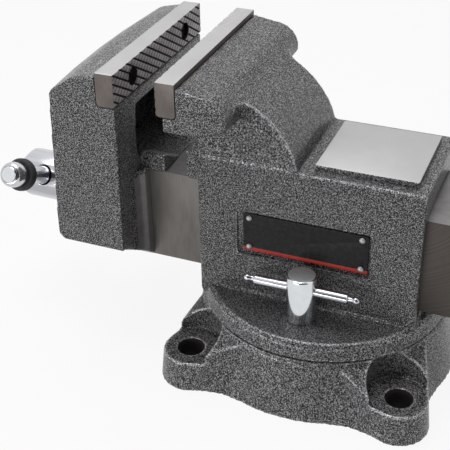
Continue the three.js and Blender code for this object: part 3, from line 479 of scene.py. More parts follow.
def scored_steel(vise):
    """Dull warm grey of the gripping faces, scored all over."""
    return marked_metal("Scored steel", vise.steel.scored_colour, tints=(0.55, 1.0), marks=(700, 700, 500),
                        clouds=(120, 3.0, 0.6), metal=0.5, rough=(0.42, 0.62), relief=(0.08 * MM, 0.5),
                        span=(0.3, 0.7))


def mottled(name, colour, *, tints, clouds, metal, rough, relief, span=(0.3, 0.7), gloss=0.5):
    """Surface with the same soft clouds in its colour, its roughness and its skin."""
    f = Finish(name)
    soft = f.noise(*clouds)
    f.surface(Base_Color=f.tones(soft, span, colour, tints), Metallic=metal, Specular_IOR_Level=gloss,
              Roughness=f.levels(soft, 0.3, 0.7, *rough), Normal=f.bump(soft, *relief))
    return f.material


def hollow_shade_steel(vise):
    """Dark finish that paints shade in grooves and holes, and in the joint between base and flange."""
    return mottled("Shaded hollow steel", vise.steel.hollow_shade_colour, tints=(0.5, 1.0), clouds=(500, 3.0, 0.6),
                   metal=0.1, rough=(0.6, 0.8), relief=(0.05 * MM, 0.5), span=(0.35, 0.7), gloss=0.2)


def faced_chrome(vise):
    """Duller plating on the end that a lathe has faced."""
    return mottled("Faced chrome", vise.steel.chrome_colour, tints=(0.62, 0.78), clouds=(600, 3.0, 0.6),
                   metal=0.7, rough=(0.34, 0.48), relief=(0.02 * MM, 0.4))


def oiled_steel(vise):
    """Dark oiled steel of the screws, bolts and pins, and of the jaw screw's thread and washer."""
    return mottled("Oiled steel", vise.steel.oiled_colour, tints=(0.6, 1.0), clouds=(220, 4.0, 0.6),
                   metal=0.85, rough=(0.3, 0.5), relief=(0.03 * MM, 0.4))


def plated(f, colour, shade, tints, haze_scale, rough, strength):
    """Finish a plated surface: haze in its roughness and faint polishing marks."""
    haze = f.noise(haze_scale, 3.0, 0.6)
    marks = f.noise(900, 3.0, 0.6)
    f.surface(Base_Color=f.tones(shade, (0.35, 0.65), colour, tints), Metallic=1.0,
              Roughness=f.levels(haze, 0.3, 0.7, *rough), Normal=f.bump(marks, 0.01 * MM, strength))
    return f.material


def chrome(vise):
    """Bright plating with a little haze."""
    f = Finish("Chrome")
    return plated(f, vise.steel.chrome_colour, f.noise(140, 3.0, 0.6), (0.94, 1.0), 140, (0.07, 0.14), 0.15)


def satin_chrome(vise):
    """Duller plating of the jaw screw's head, the handle and the cross bars, with drawn-out clouds."""
    f = Finish("Satin chrome")
    clouds = f.noise(1, 2.0, 0.5, place=f.stretched((12, 90, 90)))
    return plated(f, vise.steel.satin_colour, clouds, (0.8, 1.12), 90, (0.12, 0.22), 0.2)


def cast_bronze(vise):
    """Sand-cast bronze of the nut, dulled by grease."""
    f = Finish("Cast bronze")
    grain = f.noise(700, 3.0, 0.6)
    clouds = f.noise(50, 3.0, 0.5)
    colour = f.blend(f.levels(clouds, 0.3, 0.7), tinted(BRONZE_DARK), tinted(BRONZE_LIGHT))
    f.surface(Base_Color=colour, Metallic=0.9, Roughness=f.levels(grain, 0.3, 0.7, 0.4, 0.6),
              Normal=f.bump(grain, 0.12 * MM, 0.6))
    return f.material


def black_rubber(vise):
    """Matt moulded rubber with a faint grain and dust."""
    f = Finish("Black rubber")
    grain = f.noise(900, 3.0, 0.6)
    dust = f.noise(120, 4.0, 0.65)
    f.surface(Base_Color=f.tones(dust, (0.45, 0.75), vise.handle.rubber_colour, (1.0, 2.2)),
              Roughness=f.levels(grain, 0.3, 0.7, 0.6, 0.8), Normal=f.bump(grain, 0.05 * MM, 0.5))
    return f.material


def plate_enamel(vise):
    """Black gloss enamel with a red stripe along the bottom of the plate."""
    f = Finish("Plate enamel")
    plate = vise.name_plate
    height = f.axes()[2]
    bottom = low("name_plate").z
    stripe = f.math("LESS_THAN", height, bottom + plate.stripe_height)
    mottle = f.noise(260, 3.0, 0.6)
    base = f.blend(stripe, tinted(plate.enamel_colour), tinted(plate.stripe_colour))
    colour = f.blend(f.levels(mottle, 0.35, 0.75, 0.0, 0.12), base, tinted(PLATE_HAZE))
    f.surface(Base_Color=colour, Roughness=f.levels(mottle, 0.3, 0.7, 0.2, 0.34), Specular_IOR_Level=0.18,
              Normal=f.bump(mottle, 0.02 * MM, 0.3))
    return f.material


def studio_floor(vise):
    """White floor that shows as plain white to the camera and keeps the vise's shadow."""
    f = Finish("Studio floor")
    stage = vise.stage
    grain = f.noise(40, 2.0)
    f.surface(Base_Color=f.blend(grain, tinted(stage.floor_colour), tinted(stage.floor_colour, 0.98)),
              Roughness=0.9)
    seen = background_rays(f.tree)
    glow = f.add("ShaderNodeEmission")
    glow.inputs["Color"].default_value = WHITE
    glow.inputs["Strength"].default_value = stage.floor_glow
    lit = f.add("ShaderNodeMixShader")
    f.link(f.math("MULTIPLY", seen, stage.glow_share), lit.inputs[0])
    f.link(f.shader.outputs[0], lit.inputs[1])
    f.link(glow.outputs[0], lit.inputs[2])
    f.link(lit.outputs[0], f.tree.nodes["Material Output"].inputs["Surface"])
    return f.material


def studio_flag(vise):
    """Grey cloth of the flag that polished pieces mirror."""
    f = Finish("Studio flag")
    weave = f.noise(60, 2.0)
    f.surface(Base_Color=f.blend(weave, tinted(vise.stage.flag_colour), tinted(vise.stage.flag_colour, 0.9)),
              Roughness=0.95, Specular_IOR_Level=0.1)
    return f.material


def background_rays(tree):
    """1 for the rays that show the background: straight to the camera, by reflection or through glass."""
    path = tree.nodes.new("ShaderNodeLightPath")
    seen = path.outputs["Is Camera Ray"]
    for ray in ("Is Glossy Ray", "Is Transmission Ray"):
        either = tree.nodes.new("ShaderNodeMath")
        either.operation = "ADD"
        either.use_clamp = True
        tree.links.new(seen, either.inputs[0])
        tree.links.new(path.outputs[ray], either.inputs[1])
        seen = either.outputs[0]
    return seen


# Settings

def number(name, description, default, **settings):
    return FloatProperty(name=name, description=description, default=default, **settings)


def length(name, description, default, **limits):
    return number(name, description, default, unit="LENGTH", precision=4, **limits)


def colour(name, description, default):
    return FloatVectorProperty(name=name, description=description, default=default, subtype="COLOR", size=3,
                               min=0.0, max=1.0)


class ViseCastings(bpy.types.PropertyGroup):
    """Sizes and colours of the enamelled castings."""
    mesh_size: length("Mesh size", "Distance between the points of a casting's skin", 1.0 * MM, min=0.5 * MM)
    edge_passes: IntProperty(name="Edge passes", description="How often the cast edges are smoothed",
                             default=4, min=0)
    fleck_size: length("Fleck size", "Distance between the enamel's flecks", 0.75 * MM, min=0.1 * MM)
    fleck_metal: number("Fleck metal", "How metallic the flecks are", 0.35, min=0.0, max=1.0)
    ground_colour: colour("Ground colour", "Dark ground of the enamel", (0.008, 0.008, 0.0088))
    fleck_colour: colour("Fleck colour", "Light flecks of the enamel", (0.50, 0.50, 0.51))
    # Painted highlight: colour of the lighter flecks along the cast edges
    edge_highlight_colour: colour("Edge highlight", "Flecks along the cast edges", (0.74, 0.74, 0.755))


class ViseSteel(bpy.types.PropertyGroup):
    """Colours of the bare metals."""
    iron_dark: colour("Iron, dark", "Darker streaks of the machined slide", (0.10, 0.093, 0.087))
    iron_light: colour("Iron, light", "Lighter streaks of the machined slide", (0.24, 0.226, 0.213))
    wiped_colour: colour("Iron, wiped", "Top and start of the machined slide", (0.27, 0.26, 0.258))
    # Painted shade: tint that darkens the rear of the slide
    rear_shade_tint: colour("Rear shade", "Tint of the oil on the rear of the slide", (0.50, 0.46, 0.44))
    ground_colour: colour("Ground steel", "Tops of the jaw plates and of the anvil", (0.50, 0.493, 0.50))
    sawn_colour: colour("Sawn steel", "Ends of the jaw plates", (0.145, 0.125, 0.114))
    scored_colour: colour("Scored steel", "Gripping faces of the jaw plates", (0.54, 0.50, 0.503))
    # Painted shade: dark colour of grooves, holes and the flange joint
    hollow_shade_colour: colour("Painted hollow shade", "Grease and dirt in grooves, holes and joints", (0.022, 0.018, 0.018))
    chrome_colour: colour("Chrome", "Plated lock nuts and the ends of the handle's knobs", (0.71, 0.735, 0.755))
    satin_colour: colour("Satin chrome", "Jaw screw's head, handle and cross bars", (0.53, 0.535, 0.565))
    oiled_colour: colour("Oiled steel", "Screws, bolts, pins and the jaw screw's thread", (0.11, 0.105, 0.10))


class ViseJaws(bpy.types.PropertyGroup):
    """Grooves and edges of the jaw plates."""
    edge: length("Edge", "Rounding of the plates' edges", 0.5 * MM, min=0.0)
    groove_depth: length("Groove depth", "Depth of the falling grooves", 0.78 * MM, min=0.1 * MM)
    cross_depth: length("Cross depth", "Depth of the rising grooves", 0.32 * MM, min=0.1 * MM)
    long_pitch: length("Long pitch", "Distance between the falling grooves", 5.59 * MM, min=1 * MM)
    cross_pitch: length("Cross pitch", "Distance between the rising grooves", 4.2 * MM, min=1 * MM)
    long_angle: number("Long angle", "Fall of the first grooves", math.radians(31), subtype="ANGLE")
    cross_angle: number("Cross angle", "Rise of the second grooves", math.radians(40), subtype="ANGLE")


class ViseScrew(bpy.types.PropertyGroup):
    """Thread of the jaw screw."""
    pitch: length("Pitch", "Distance from thread to thread", 6 * MM, min=1 * MM)
    thread_depth: length("Thread depth", "Depth of the thread", 2.4 * MM, min=0.1 * MM)


class ViseHandle(bpy.types.PropertyGroup):
    """Colours of the handle's rings."""
    rubber_colour: colour("Rubber", "Rings beside the handle's knobs", (0.020, 0.021, 0.023))


class VisePlate(bpy.types.PropertyGroup):
    """Name plate, left bare."""
    stripe_height: length("Stripe height", "Height of the stripe along the bottom", 3.0 * MM, min=0.0)
    enamel_colour: colour("Enamel", "Ground of the name plate", (0.010, 0.010, 0.011))
    stripe_colour: colour("Stripe", "Stripe of the name plate", (0.52, 0.045, 0.035))


class ViseStage(bpy.types.PropertyGroup):
    """Floor, lights and camera."""
    floor_colour: colour("Floor", "Colour of the studio floor", (0.92, 0.92, 0.92))
    floor_glow: number("Floor glow", "How white the floor shows to the camera", 1.0)
    flag_colour: colour("Flag", "Flag behind the camera, which only reflections show", (0.22, 0.22, 0.23))
    glow_share: number("Glow share", "Share of the glow over the lit floor", 0.9, min=0.0, max=1.0)
    key_power: number("Key light", "Power of the large light over the vise", 12.0, unit="POWER")
    front_power: number("Front light", "Power of the light in front, on the left", 4.6, unit="POWER")
    room_light: number("Room light", "Strength of the plain light all round", 0.18)


class ViseSettings(bpy.types.PropertyGroup):
    """All settings of the vise."""
    castings: PointerProperty(type=ViseCastings)
    steel: PointerProperty(type=ViseSteel)
    jaws: PointerProperty(type=ViseJaws)
    screw: PointerProperty(type=ViseScrew)
    handle: PointerProperty(type=ViseHandle)
    name_plate: PointerProperty(type=VisePlate)
    stage: PointerProperty(type=ViseStage)


# Castings and the slide

EDGE_SPREAD = 3
UPRIGHT_HIGHLIGHT_SHARE = 0.35
LEAST_HIGHLIGHT_SHARE = 0.25
DIM_HIGHLIGHT_SHARE = 0.25
MOST_TRIANGLES = 190000


def read_rows(items, name, width, kind=float):
    """A property of all points or edges, as rows of an array."""
    values = np.empty(len(items) * width, dtype=kind)
    items.foreach_get(name, values)
    return values.reshape(-1, width)


def mark_edge_light(piece, has_dim_highlights):
    """Keep how sharply the skin bends, in 1/mm, as an attribute: above zero on edges, which the enamel gives a
    painted highlight, below zero in hollows, which it gives painted shade.

    Edges that look up get more painted highlight than upright ones, as if lit from above, and those where the
    dimming test holds get less.
    """
    mesh = piece.data
    count = len(mesh.vertices)
    places = read_rows(mesh.vertices, "co", 3)
    normals = read_rows(mesh.vertices, "normal", 3)
    first, second = read_rows(mesh.edges, "vertices", 2, np.int64).T
    neighbours = np.bincount(first, minlength=count) + np.bincount(second, minlength=count)
    neighbours = np.maximum(neighbours, 1)

    def around(values):
        total = np.bincount(first, values[second], count) + np.bincount(second, values[first], count)
        return total / neighbours

    middles = np.column_stack([around(places[:, axis]) for axis in range(3)])
    spans = ((places[first] - places[second]) ** 2).sum(axis=1)
    span = (np.bincount(first, spans, count) + np.bincount(second, spans, count)) / neighbours
    # A point's height over its neighbours' middle, by their mean squared distance, is a quarter of the bend.
    bend = ((places - middles) * normals).sum(axis=1) / np.maximum(span, 1e-12) * 4 * MM
    for _ in range(EDGE_SPREAD):
        bend = 0.5 * bend + 0.5 * around(bend)
    dimmed = has_dim_highlights(places[:, 0], places[:, 2])
    # Painted highlight: edges that face up get more of it, as if lit from above
    share = np.clip(normals[:, 2] + UPRIGHT_HIGHLIGHT_SHARE, LEAST_HIGHLIGHT_SHARE, 1.0)
    share = share * np.where(dimmed, DIM_HIGHLIGHT_SHARE, 1.0)
    bend = np.where(bend > 0, bend * share, bend)
    attribute = mesh.attributes.new(EDGE_LIGHT_ATTRIBUTE, "FLOAT", "POINT")
    attribute.data.foreach_set("value", bend.astype(np.float32))


def soften_casting(piece, castings, has_dim_highlights, cutters=()):
    """Turn a copy of a casting's solid into one skin with soft cast edges, and cut its crisp places last."""
    apply_modifier(piece, "REMESH", mode="VOXEL", voxel_size=castings.mesh_size, adaptivity=0.0)
    apply_modifier(piece, "SMOOTH", factor=0.5, iterations=castings.edge_passes)
    triangles = sum(len(face.vertices) - 2 for face in piece.data.polygons)
    if triangles > MOST_TRIANGLES:
        apply_modifier(piece, "DECIMATE", decimate_type="COLLAPSE", ratio=MOST_TRIANGLES / triangles)
    for cutter in cutters:
        carve(piece, cutter)
    mark_edge_light(piece, has_dim_highlights)
    return smooth(piece, 60)


LUG_HEIGHT = 24.4 * MM
LUG_CIRCLE_RADIUS = 114.5 * MM
LUG_PLACES = [Vector((x, y)) * LUG_CIRCLE_RADIUS / math.sqrt(2) for x in (-1, 1) for y in (-1, 1)]
BENCH_BORE_RADIUS = 8.4 * MM
MOUTH_RADIUS = 10.5 * MM
MOUTH_DEPTH = 3.2 * MM
MOUTH_RIM = 0.2 * MM
CUT_PAST = 3 * MM


class VISE_OT_base(bpy.types.Operator):
    """Make the round base casting with its four lugs"""
    bl_idname = "vise.base"
    bl_label = "Base casting"

    def execute(self, context):
        castings = context.scene.bench_vise.castings
        holes = join("Holes", *[self.bench_hole(place) for place in LUG_PLACES])
        base = copy_of_node("swivel_base", "base_casting")
        # No edge of the base gets a lowered painted highlight
        soften_casting(base, castings, lambda x, z: z < 0, [holes])
        hand_over(base, "base", [hammered_enamel, hollow_shade_steel], ["swivel_base"])
        # Painted shade on the walls of the bench holes
        assign_where(base, 1, self.in_bench_hole)
        return {"FINISHED"}

    def bench_hole(self, place):
        """Cutter for a bench bolt's hole and its wider mouth in the lug's top."""
        steps = [(BENCH_BORE_RADIUS, -CUT_PAST), (BENCH_BORE_RADIUS, LUG_HEIGHT - MOUTH_DEPTH),
                 (MOUTH_RADIUS, LUG_HEIGHT - MOUTH_RIM), (MOUTH_RADIUS, LUG_HEIGHT + CUT_PAST)]
        return turned("Hole", steps, (*place, 0), UPRIGHT, SMALL_ROUND_SIDES)

    def in_bench_hole(self, point, normal):
        near = any((point.xy - place).length < MOUTH_RADIUS + TOLERANCE for place in LUG_PLACES)
        return near and normal.z < SQUARE_ON


SLIDE_TOP = 148 * MM
BLOCK_TOP = 171.5 * MM
SEAM_END = -8 * MM
SEAM_REACH = 2.5 * MM
HEAD_END = -52 * MM
ANVIL_FRONT = -1.1 * MM
ANVIL_REAR = 72.5 * MM
ANVIL_HALF_WIDTH = 36.9 * MM
ANVIL_HEIGHT = 4.1 * MM
ANVIL_GAP = 0.2 * MM
ANVIL_EDGE = 0.6 * MM
RECESS_FRONT = 4.8 * MM
RECESS_REAR = 1.8 * MM
RECESS_ABOVE = 1.4 * MM
RECESS_BELOW = 4.3 * MM
RECESS_CORNER = 2 * MM
RECESS_DEPTH = 1.6 * MM
RECESS_FLOOR_GAP = 0.3 * MM
FILLING_EDGE = Vector((1 * MM, 0, 1 * MM))
FILLING_ROOT = Vector((0, 2 * MM, 0))
SHADOW_HEIGHT = 1.9 * MM
SHADOW_DEPTH = 2.2 * MM


class VISE_OT_body(bpy.types.Operator):
    """Make the body casting with the fixed jaw, and the ground anvil pad on it"""
    bl_idname = "vise.body"
    bl_label = "Body casting and anvil"

    def execute(self, context):
        vise = context.scene.bench_vise
        top = max(v.co.z for v in frame["nodes"]["vise_body"].data.vertices if v.co.x > 0)
        body = copy_of_node("vise_body", "body_casting")
        side = ANVIL_HALF_WIDTH + CUT_PAST
        carve(body, block((ANVIL_FRONT - ANVIL_GAP, -side, top - ANVIL_HEIGHT + ANVIL_GAP),
                          (ANVIL_REAR + CUT_PAST, side, top + CUT_PAST)))
        body = join("body_casting", body, self.recess_filling())
        soften_casting(body, vise.castings, self.has_dim_highlights, [self.recess(), self.shadow_line()])
        hand_over(body, "body", [hammered_enamel, hollow_shade_steel], ["vise_body"])
        # Painted shade in the shadow line's groove
        assign_where(body, 1, self.in_shadow_line())
        self.anvil_pad(top)
        return {"FINISHED"}

    def anvil_pad(self, top):
        """Ground pad, which reaches down into the block."""
        pad = block((ANVIL_FRONT, -ANVIL_HALF_WIDTH, top - 2 * ANVIL_HEIGHT),
                    (ANVIL_REAR, ANVIL_HALF_WIDTH, top), "anvil_pad")
        soften_edges(pad, ANVIL_EDGE, 3)
        smooth(pad)
        hand_over(pad, "body", [hammered_enamel, ground_steel])
        assign_where(pad, 1, lambda point, normal: normal.z > SQUARE_ON)

    def has_dim_highlights(self, x, z):
        """The fixed jaw's head, and the seam where the web stands on the block: their edges get less painted
        highlight.
        """
        seam = (x < SEAM_END) & (abs(z - BLOCK_TOP) < SEAM_REACH)
        return seam | (x < HEAD_END) & (z > SLIDE_TOP)

    def recess_corners(self):
        """Lower front and upper rear corner of the name plate's recess, on its floor behind the plate."""
        floor_y = high("name_plate").y + RECESS_FLOOR_GAP
        lower = low("name_plate") - Vector((RECESS_FRONT, 0, RECESS_BELOW))
        upper = high("name_plate") + Vector((RECESS_REAR, 0, RECESS_ABOVE))
        return Vector((lower.x, floor_y, lower.z)), Vector((upper.x, floor_y, upper.z))

    def recess(self):
        lower, upper = self.recess_corners()
        return rounded_block(lower - Vector((0, RECESS_DEPTH + CUT_PAST, 0)), upper, RECESS_CORNER)

    def recess_filling(self):
        """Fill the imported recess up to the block's side, so that it can be cut again with crisp edges."""
        lower, upper = self.recess_corners()
        return block(lower - FILLING_EDGE - Vector((0, RECESS_DEPTH, 0)), upper + FILLING_EDGE + FILLING_ROOT)

    def shadow_line(self):
        """Thin ring round the foot of the flange, which keeps the joint with the base dark."""
        radius = high("vise_body").y
        foot = Vector((0, 0, high("swivel_base").z))
        ring = turned("Ring", [(radius + CUT_PAST, 0), (radius + CUT_PAST, SHADOW_HEIGHT)], foot, UPRIGHT,
                      2 * ROUND_SIDES)
        reach = CUT_PAST * UPRIGHT
        return carve(ring, round_bar(radius - SHADOW_DEPTH, foot - reach, foot + reach, 2 * ROUND_SIDES))

    def in_shadow_line(self):
        """Test for the faces inside the shadow line."""
        radius = high("vise_body").y
        top = high("swivel_base").z + SHADOW_HEIGHT + TOLERANCE
        return lambda point, normal: (point.z < top and 2 * TOLERANCE < radius - point.xy.length
                                      < SHADOW_DEPTH + TOLERANCE)


STRIP_START = -134.8 * MM
STRIP_RIM = 2 * MM
SLIDE_START = -130 * MM
FOOT_END = -116.4 * MM
FOOT_CLEARANCE = 0.5 * MM
SLIDE_EDGE = 0.8 * MM
SLIDE_HALF_WIDTH = 38 * MM
SLIDE_BOTTOM = 71.5 * MM
SLIDE_WALL = 9 * MM
SLIDE_CUT_PAST = 10 * MM


class VISE_OT_front_jaw(bpy.types.Operator):
    """Make the moving jaw's casting and its machined slide"""
    bl_idname = "vise.front_jaw"
    bl_label = "Front jaw and slide"

    def execute(self, context):
        slide_end = high("moving_jaw").x
        self.casting(context.scene.bench_vise.castings, slide_end)
        self.slide(slide_end)
        return {"FINISHED"}

    def casting(self, castings, slide_end):
        """Jaw without its slide, with a strip of bare iron where the slide begins."""
        jaw = copy_of_node("moving_jaw", "front_jaw_casting")
        side = SLIDE_HALF_WIDTH + SLIDE_CUT_PAST
        past_end = slide_end + SLIDE_CUT_PAST
        carve(jaw, block((SLIDE_START, -side, SLIDE_BOTTOM - SLIDE_CUT_PAST),
                         (past_end, side, SLIDE_TOP - TOLERANCE)))
        carve(jaw, block((FOOT_END, -side, SLIDE_TOP - SLIDE_CUT_PAST),
                         (past_end, side, SLIDE_TOP + FOOT_CLEARANCE)))
        # Every edge of the moving jaw gets the lowered painted highlight
        soften_casting(jaw, castings, lambda x, z: z > 0)
        hand_over(jaw, "front_jaw", [hammered_enamel, wiped_iron], ["moving_jaw"])
        cut_line(jaw, STRIP_START)
        assign_where(jaw, 1, lambda point, normal: point.x > STRIP_START and point.z < SLIDE_TOP - STRIP_RIM
                     and abs(point.y) > SLIDE_HALF_WIDTH - STRIP_RIM)

    def slide(self, slide_end):
        """Box slide, open below, with its root inside the jaw."""
        side = SLIDE_HALF_WIDTH
        slide = block((SLIDE_START - SLIDE_CUT_PAST, -side, SLIDE_BOTTOM), (slide_end, side, SLIDE_TOP),
                      "front_jaw_slide")
        inner = side - SLIDE_WALL
        ceiling = SLIDE_TOP - SLIDE_WALL
        carve(slide, block((SLIDE_START - 2 * SLIDE_CUT_PAST, -inner, SLIDE_BOTTOM - SLIDE_CUT_PAST),
                           (slide_end + SLIDE_CUT_PAST, inner, ceiling)))
        soften_edges(slide, SLIDE_EDGE, 3)
        smooth(slide)
        hand_over(slide, "front_jaw", [machined_iron, hammered_enamel, wiped_iron])
        assign_where(slide, 2, lambda point, normal: normal.z > SQUARE_ON and point.z > SLIDE_TOP - 1 * MM)
        assign_where(slide, 1, lambda point, normal: abs(point.y) < inner + TOLERANCE
                     and point.z < ceiling + TOLERANCE and abs(normal.x) < 0.5)


# Jaw plates

def groove_cutter(face_x, pitch, angle, depth, plate):
    """Row of long square bars on edge, which cut V grooves into a gripping face, one through its middle."""
    centre = middle(plate)
    reach = size(plate).length
    half_count = int(reach / pitch / 2) + 1
    across = Vector((0, -math.sin(angle), math.cos(angle)))
    corner = Vector((depth / math.sqrt(2), reach / 2, depth / math.sqrt(2)))
    bar = block(-corner, corner)
    bar.rotation_euler = (0, RIGHT_ANGLE / 2, 0)
    settle(bar)
    bar.rotation_euler = (angle, 0, 0)
    bar.location = Vector((face_x, centre.y, centre.z)) - across * pitch * half_count
    settle(bar)
    return apply_modifier(bar, "ARRAY", count=2 * half_count + 1, use_relative_offset=False,
                          use_constant_offset=True, constant_offset_displace=across * pitch)


SCREW_HOLE_REACH = 7.2 * MM
GROOVE_RIM = 0.8 * MM
GROOVE_REACH = 2 * MM


class VISE_OT_jaw_plates(bpy.types.Operator):
    """Make the two jaw plates with crossed grooves in their gripping faces"""
    bl_idname = "vise.jaw_plates"
    bl_label = "Jaw plates"

    def execute(self, context):
        jaws = context.scene.bench_vise.jaws
        self.plate(jaws, "fixed_jaw_plate", "fixed_plate", "body", -1)
        self.plate(jaws, "moving_jaw_plate", "front_plate", "front_jaw", 1)
        return {"FINISHED"}

    def plate(self, jaws, node, name, body, facing):
        face_x = high(node).x if facing > 0 else low(node).x
        plate = copy_of_node(node, name)
        soften_edges(plate, jaws.edge, 2)
        carve(plate, groove_cutter(face_x, jaws.long_pitch, -jaws.long_angle, jaws.groove_depth, node))
        carve(plate, groove_cutter(face_x, jaws.cross_pitch, jaws.cross_angle, jaws.cross_depth, node))
        smooth(plate, 25)
        hand_over(plate, body, [sawn_steel, ground_steel, hollow_shade_steel, scored_steel], [node])
        assign_where(plate, 1, lambda point, normal: normal.z > SQUARE_ON)
        assign_where(plate, 3, lambda point, normal: normal.x * facing > SQUARE_ON)
        # Painted shade on the walls of the grooves and screw holes
        assign_where(plate, 2, self.is_shaded_hollow(node, face_x))

    def is_shaded_hollow(self, node, face_x):
        """Test for the walls of the grooves and screw holes, without the plate's edges and outside: these walls
        get painted shade.
        """
        screws = [middle(f"{node.replace('plate', 'screw')}_{side}").yz for side in ("near", "far")]
        lowest, highest = low(node), high(node)

        def test(point, normal):
            if abs(normal.x) < 0.5 and any((point.yz - screw).length < SCREW_HOLE_REACH for screw in screws):
                return True
            inside = all(lowest[axis] + GROOVE_RIM < point[axis] < highest[axis] - GROOVE_RIM
                         for axis in (1, 2))
            return inside and 0.4 < abs(normal.x) < SQUARE_ON and abs(point.x - face_x) < GROOVE_REACH

        return test


# Jaw screw

def along_x(node):
    """Start point, radius and reach of a round node along X."""
    extent = size(node)
    centre = middle(node)
    return Vector((low(node).x, centre.y, centre.z)), max(extent.y, extent.z) / 2, extent.x


def screw_thread(start, end, axis_z, radius, screw):
    """Helical thread: one turn's profile swept round the axis by the Screw modifier."""
    root = radius - screw.thread_depth
    profile = [(root, 0.0), (root, 0.28), (radius, 0.36), (radius, 0.64), (root, 0.72), (root, 1.0)]
    deselect_all()
    bpy.ops.mesh.primitive_plane_add(size=1 * MM)
    thread = bpy.context.active_object
    with editing(thread):
        bpy.ops.mesh.select_mode(type="VERT")
        bpy.ops.mesh.merge(type="CENTER")
        bpy.ops.transform.translate(value=(0, root, 0))
        for (last_radius, last_share), (next_radius, next_share) in zip(profile, profile[1:]):
            step = (0, next_radius - last_radius, (next_share - last_share) * screw.pitch)
            bpy.ops.mesh.extrude_vertices_move(TRANSFORM_OT_translate={"value": step})
    turns = int((end - start) / screw.pitch)
    apply_modifier(thread, "SCREW", axis="Z", angle=2 * math.pi, screw_offset=screw.pitch, iterations=turns,
                   steps=THREAD_SIDES, render_steps=THREAD_SIDES, use_merge_vertices=True,
                   merge_threshold=MERGE_DISTANCE)
    with editing(thread):
        bpy.ops.mesh.remove_doubles(threshold=MERGE_DISTANCE)
        bpy.ops.mesh.normals_make_consistent(inside=False)
    thread.rotation_euler = (0, RIGHT_ANGLE, 0)
    thread.location = (start, 0, axis_z)
    return settle(thread)


THREAD_SIDES = 32
THREAD_RADIUS = 12.5 * MM
CORE_RADIUS = 10 * MM
SHANK_RADIUS = 13 * MM
WASHER_BORE_RADIUS = 13.5 * MM
BORE_RADIUS = 8.5 * MM
BORE_REACH = 60 * MM
TOUCHING_GAP = 0.3 * MM
TURNED_EDGE = 0.5 * MM


class VISE_OT_jaw_screw(bpy.types.Operator):
    """Make the jaw screw with its cross-drilled head, and the washer behind it"""
    bl_idname = "vise.jaw_screw"
    bl_label = "Jaw screw"

    def execute(self, context):
        self.head()
        self.thread(context.scene.bench_vise.screw)
        self.washer()
        return {"FINISHED"}

    def thread_start(self):
        return high("thrust_collar").x + TOUCHING_GAP

    def head(self):
        """Domed head with the bore for the handle, and the shank up to the thread."""
        start, radius, _ = along_x("spindle")
        end = low("thrust_washer").x - TOUCHING_GAP - start.x
        head = turned("jaw_screw_head", [
            (radius - 7 * MM, 0), (radius - 5.2 * MM, 0.5 * MM), (radius - 1.6 * MM, 4.2 * MM),
            (radius - 0.4 * MM, 5.8 * MM), (radius, 8 * MM), (radius, end - 1.5 * MM),
            (radius - 0.4 * MM, end - 0.5 * MM), (radius - 1.5 * MM, end), (SHANK_RADIUS, end),
            (SHANK_RADIUS, self.thread_start() - start.x),
        ], start, ALONG_X)
        direction = handle_direction()
        centre = Vector((middle("handle_bar").x, 0, start.z))
        carve(head, round_bar(BORE_RADIUS, centre - direction * BORE_REACH, centre + direction * BORE_REACH))
        soften_edges(head, TURNED_EDGE, 2, 40)
        smooth(head, 30)
        hand_over(head, "screw", [satin_chrome, hollow_shade_steel], ["spindle"])
        # Painted shade on the wall of the handle's bore
        assign_where(head, 1, lambda point, normal: abs(normal.dot(direction)) < 0.1
                     and (point - centre).cross(direction).length < BORE_RADIUS + TOLERANCE / 2)

    def thread(self, screw):
        axis_z = middle("spindle").z
        start = self.thread_start()
        tip = high("spindle").x
        core = turned("jaw_screw_core", [
            (CORE_RADIUS, start - 1 * MM), (CORE_RADIUS, tip - 2 * MM),
            (CORE_RADIUS - 1 * MM, tip - 0.3 * MM), (CORE_RADIUS - 2 * MM, tip),
        ], (0, 0, axis_z), ALONG_X)
        smooth(core)
        thread = screw_thread(start, tip - 1 * MM, axis_z, THREAD_RADIUS, screw)
        smooth(thread, 30)
        hand_over(join("jaw_screw_thread", thread, core), "screw", [oiled_steel])

    def washer(self):
        start, radius, reach = along_x("thrust_washer")
        washer = turned("head_washer", [(radius, 0), (radius, reach)], start, ALONG_X)
        carve(washer, round_bar(WASHER_BORE_RADIUS, start - ALONG_X * reach, start + ALONG_X * 2 * reach))
        soften_edges(washer, TURNED_EDGE, 2)
        smooth(washer)
        hand_over(washer, "screw", [oiled_steel], ["thrust_washer"])


# Handle

def handle_direction():
    """Direction of the handle bar towards its near, upper end."""
    for joint in frame["record"]["behaviour"]["joints"]:
        if joint["name"] == "handle_slide":
            return Vector(joint["axis"]).normalized()
    raise RuntimeError("the packed record has no handle_slide joint")


def along_handle(node, radius):
    """Nearest and farthest reach of a round node along the handle, counted from the origin."""
    direction = handle_direction()
    extent = size(node)
    length_along = (extent.y - 2 * radius * abs(direction.z)) / abs(direction.y)
    centre = middle(node).dot(direction)
    return centre - length_along / 2, centre + length_along / 2


def handle_turned(name, steps, sides=ROUND_SIDES):
    """Round piece on the handle's axis, with steps of radius and reach along it."""
    direction = handle_direction()
    bar = middle("handle_bar")
    foot = bar - direction * bar.dot(direction)
    return turned(name, steps, foot, direction, sides)


BAR_RADIUS = 7.5 * MM
SPIGOT_RADIUS = 4.5 * MM
SPIGOT_LENGTH = 9 * MM
KNOB_LENGTH = 15 * MM
KNOB_FACE = 14.3 * MM
GROOVE_FLOOR = 12.9 * MM
SHOULDER_FOOT = 8.2 * MM
SHOULDER_RADIUS = 6.8 * MM
SHOULDER_HEIGHT = 5.3 * MM
RING_WIDTH = 8 * MM
RING_EDGE = 2.5 * MM
RING_BORE_RADIUS = 7.8 * MM


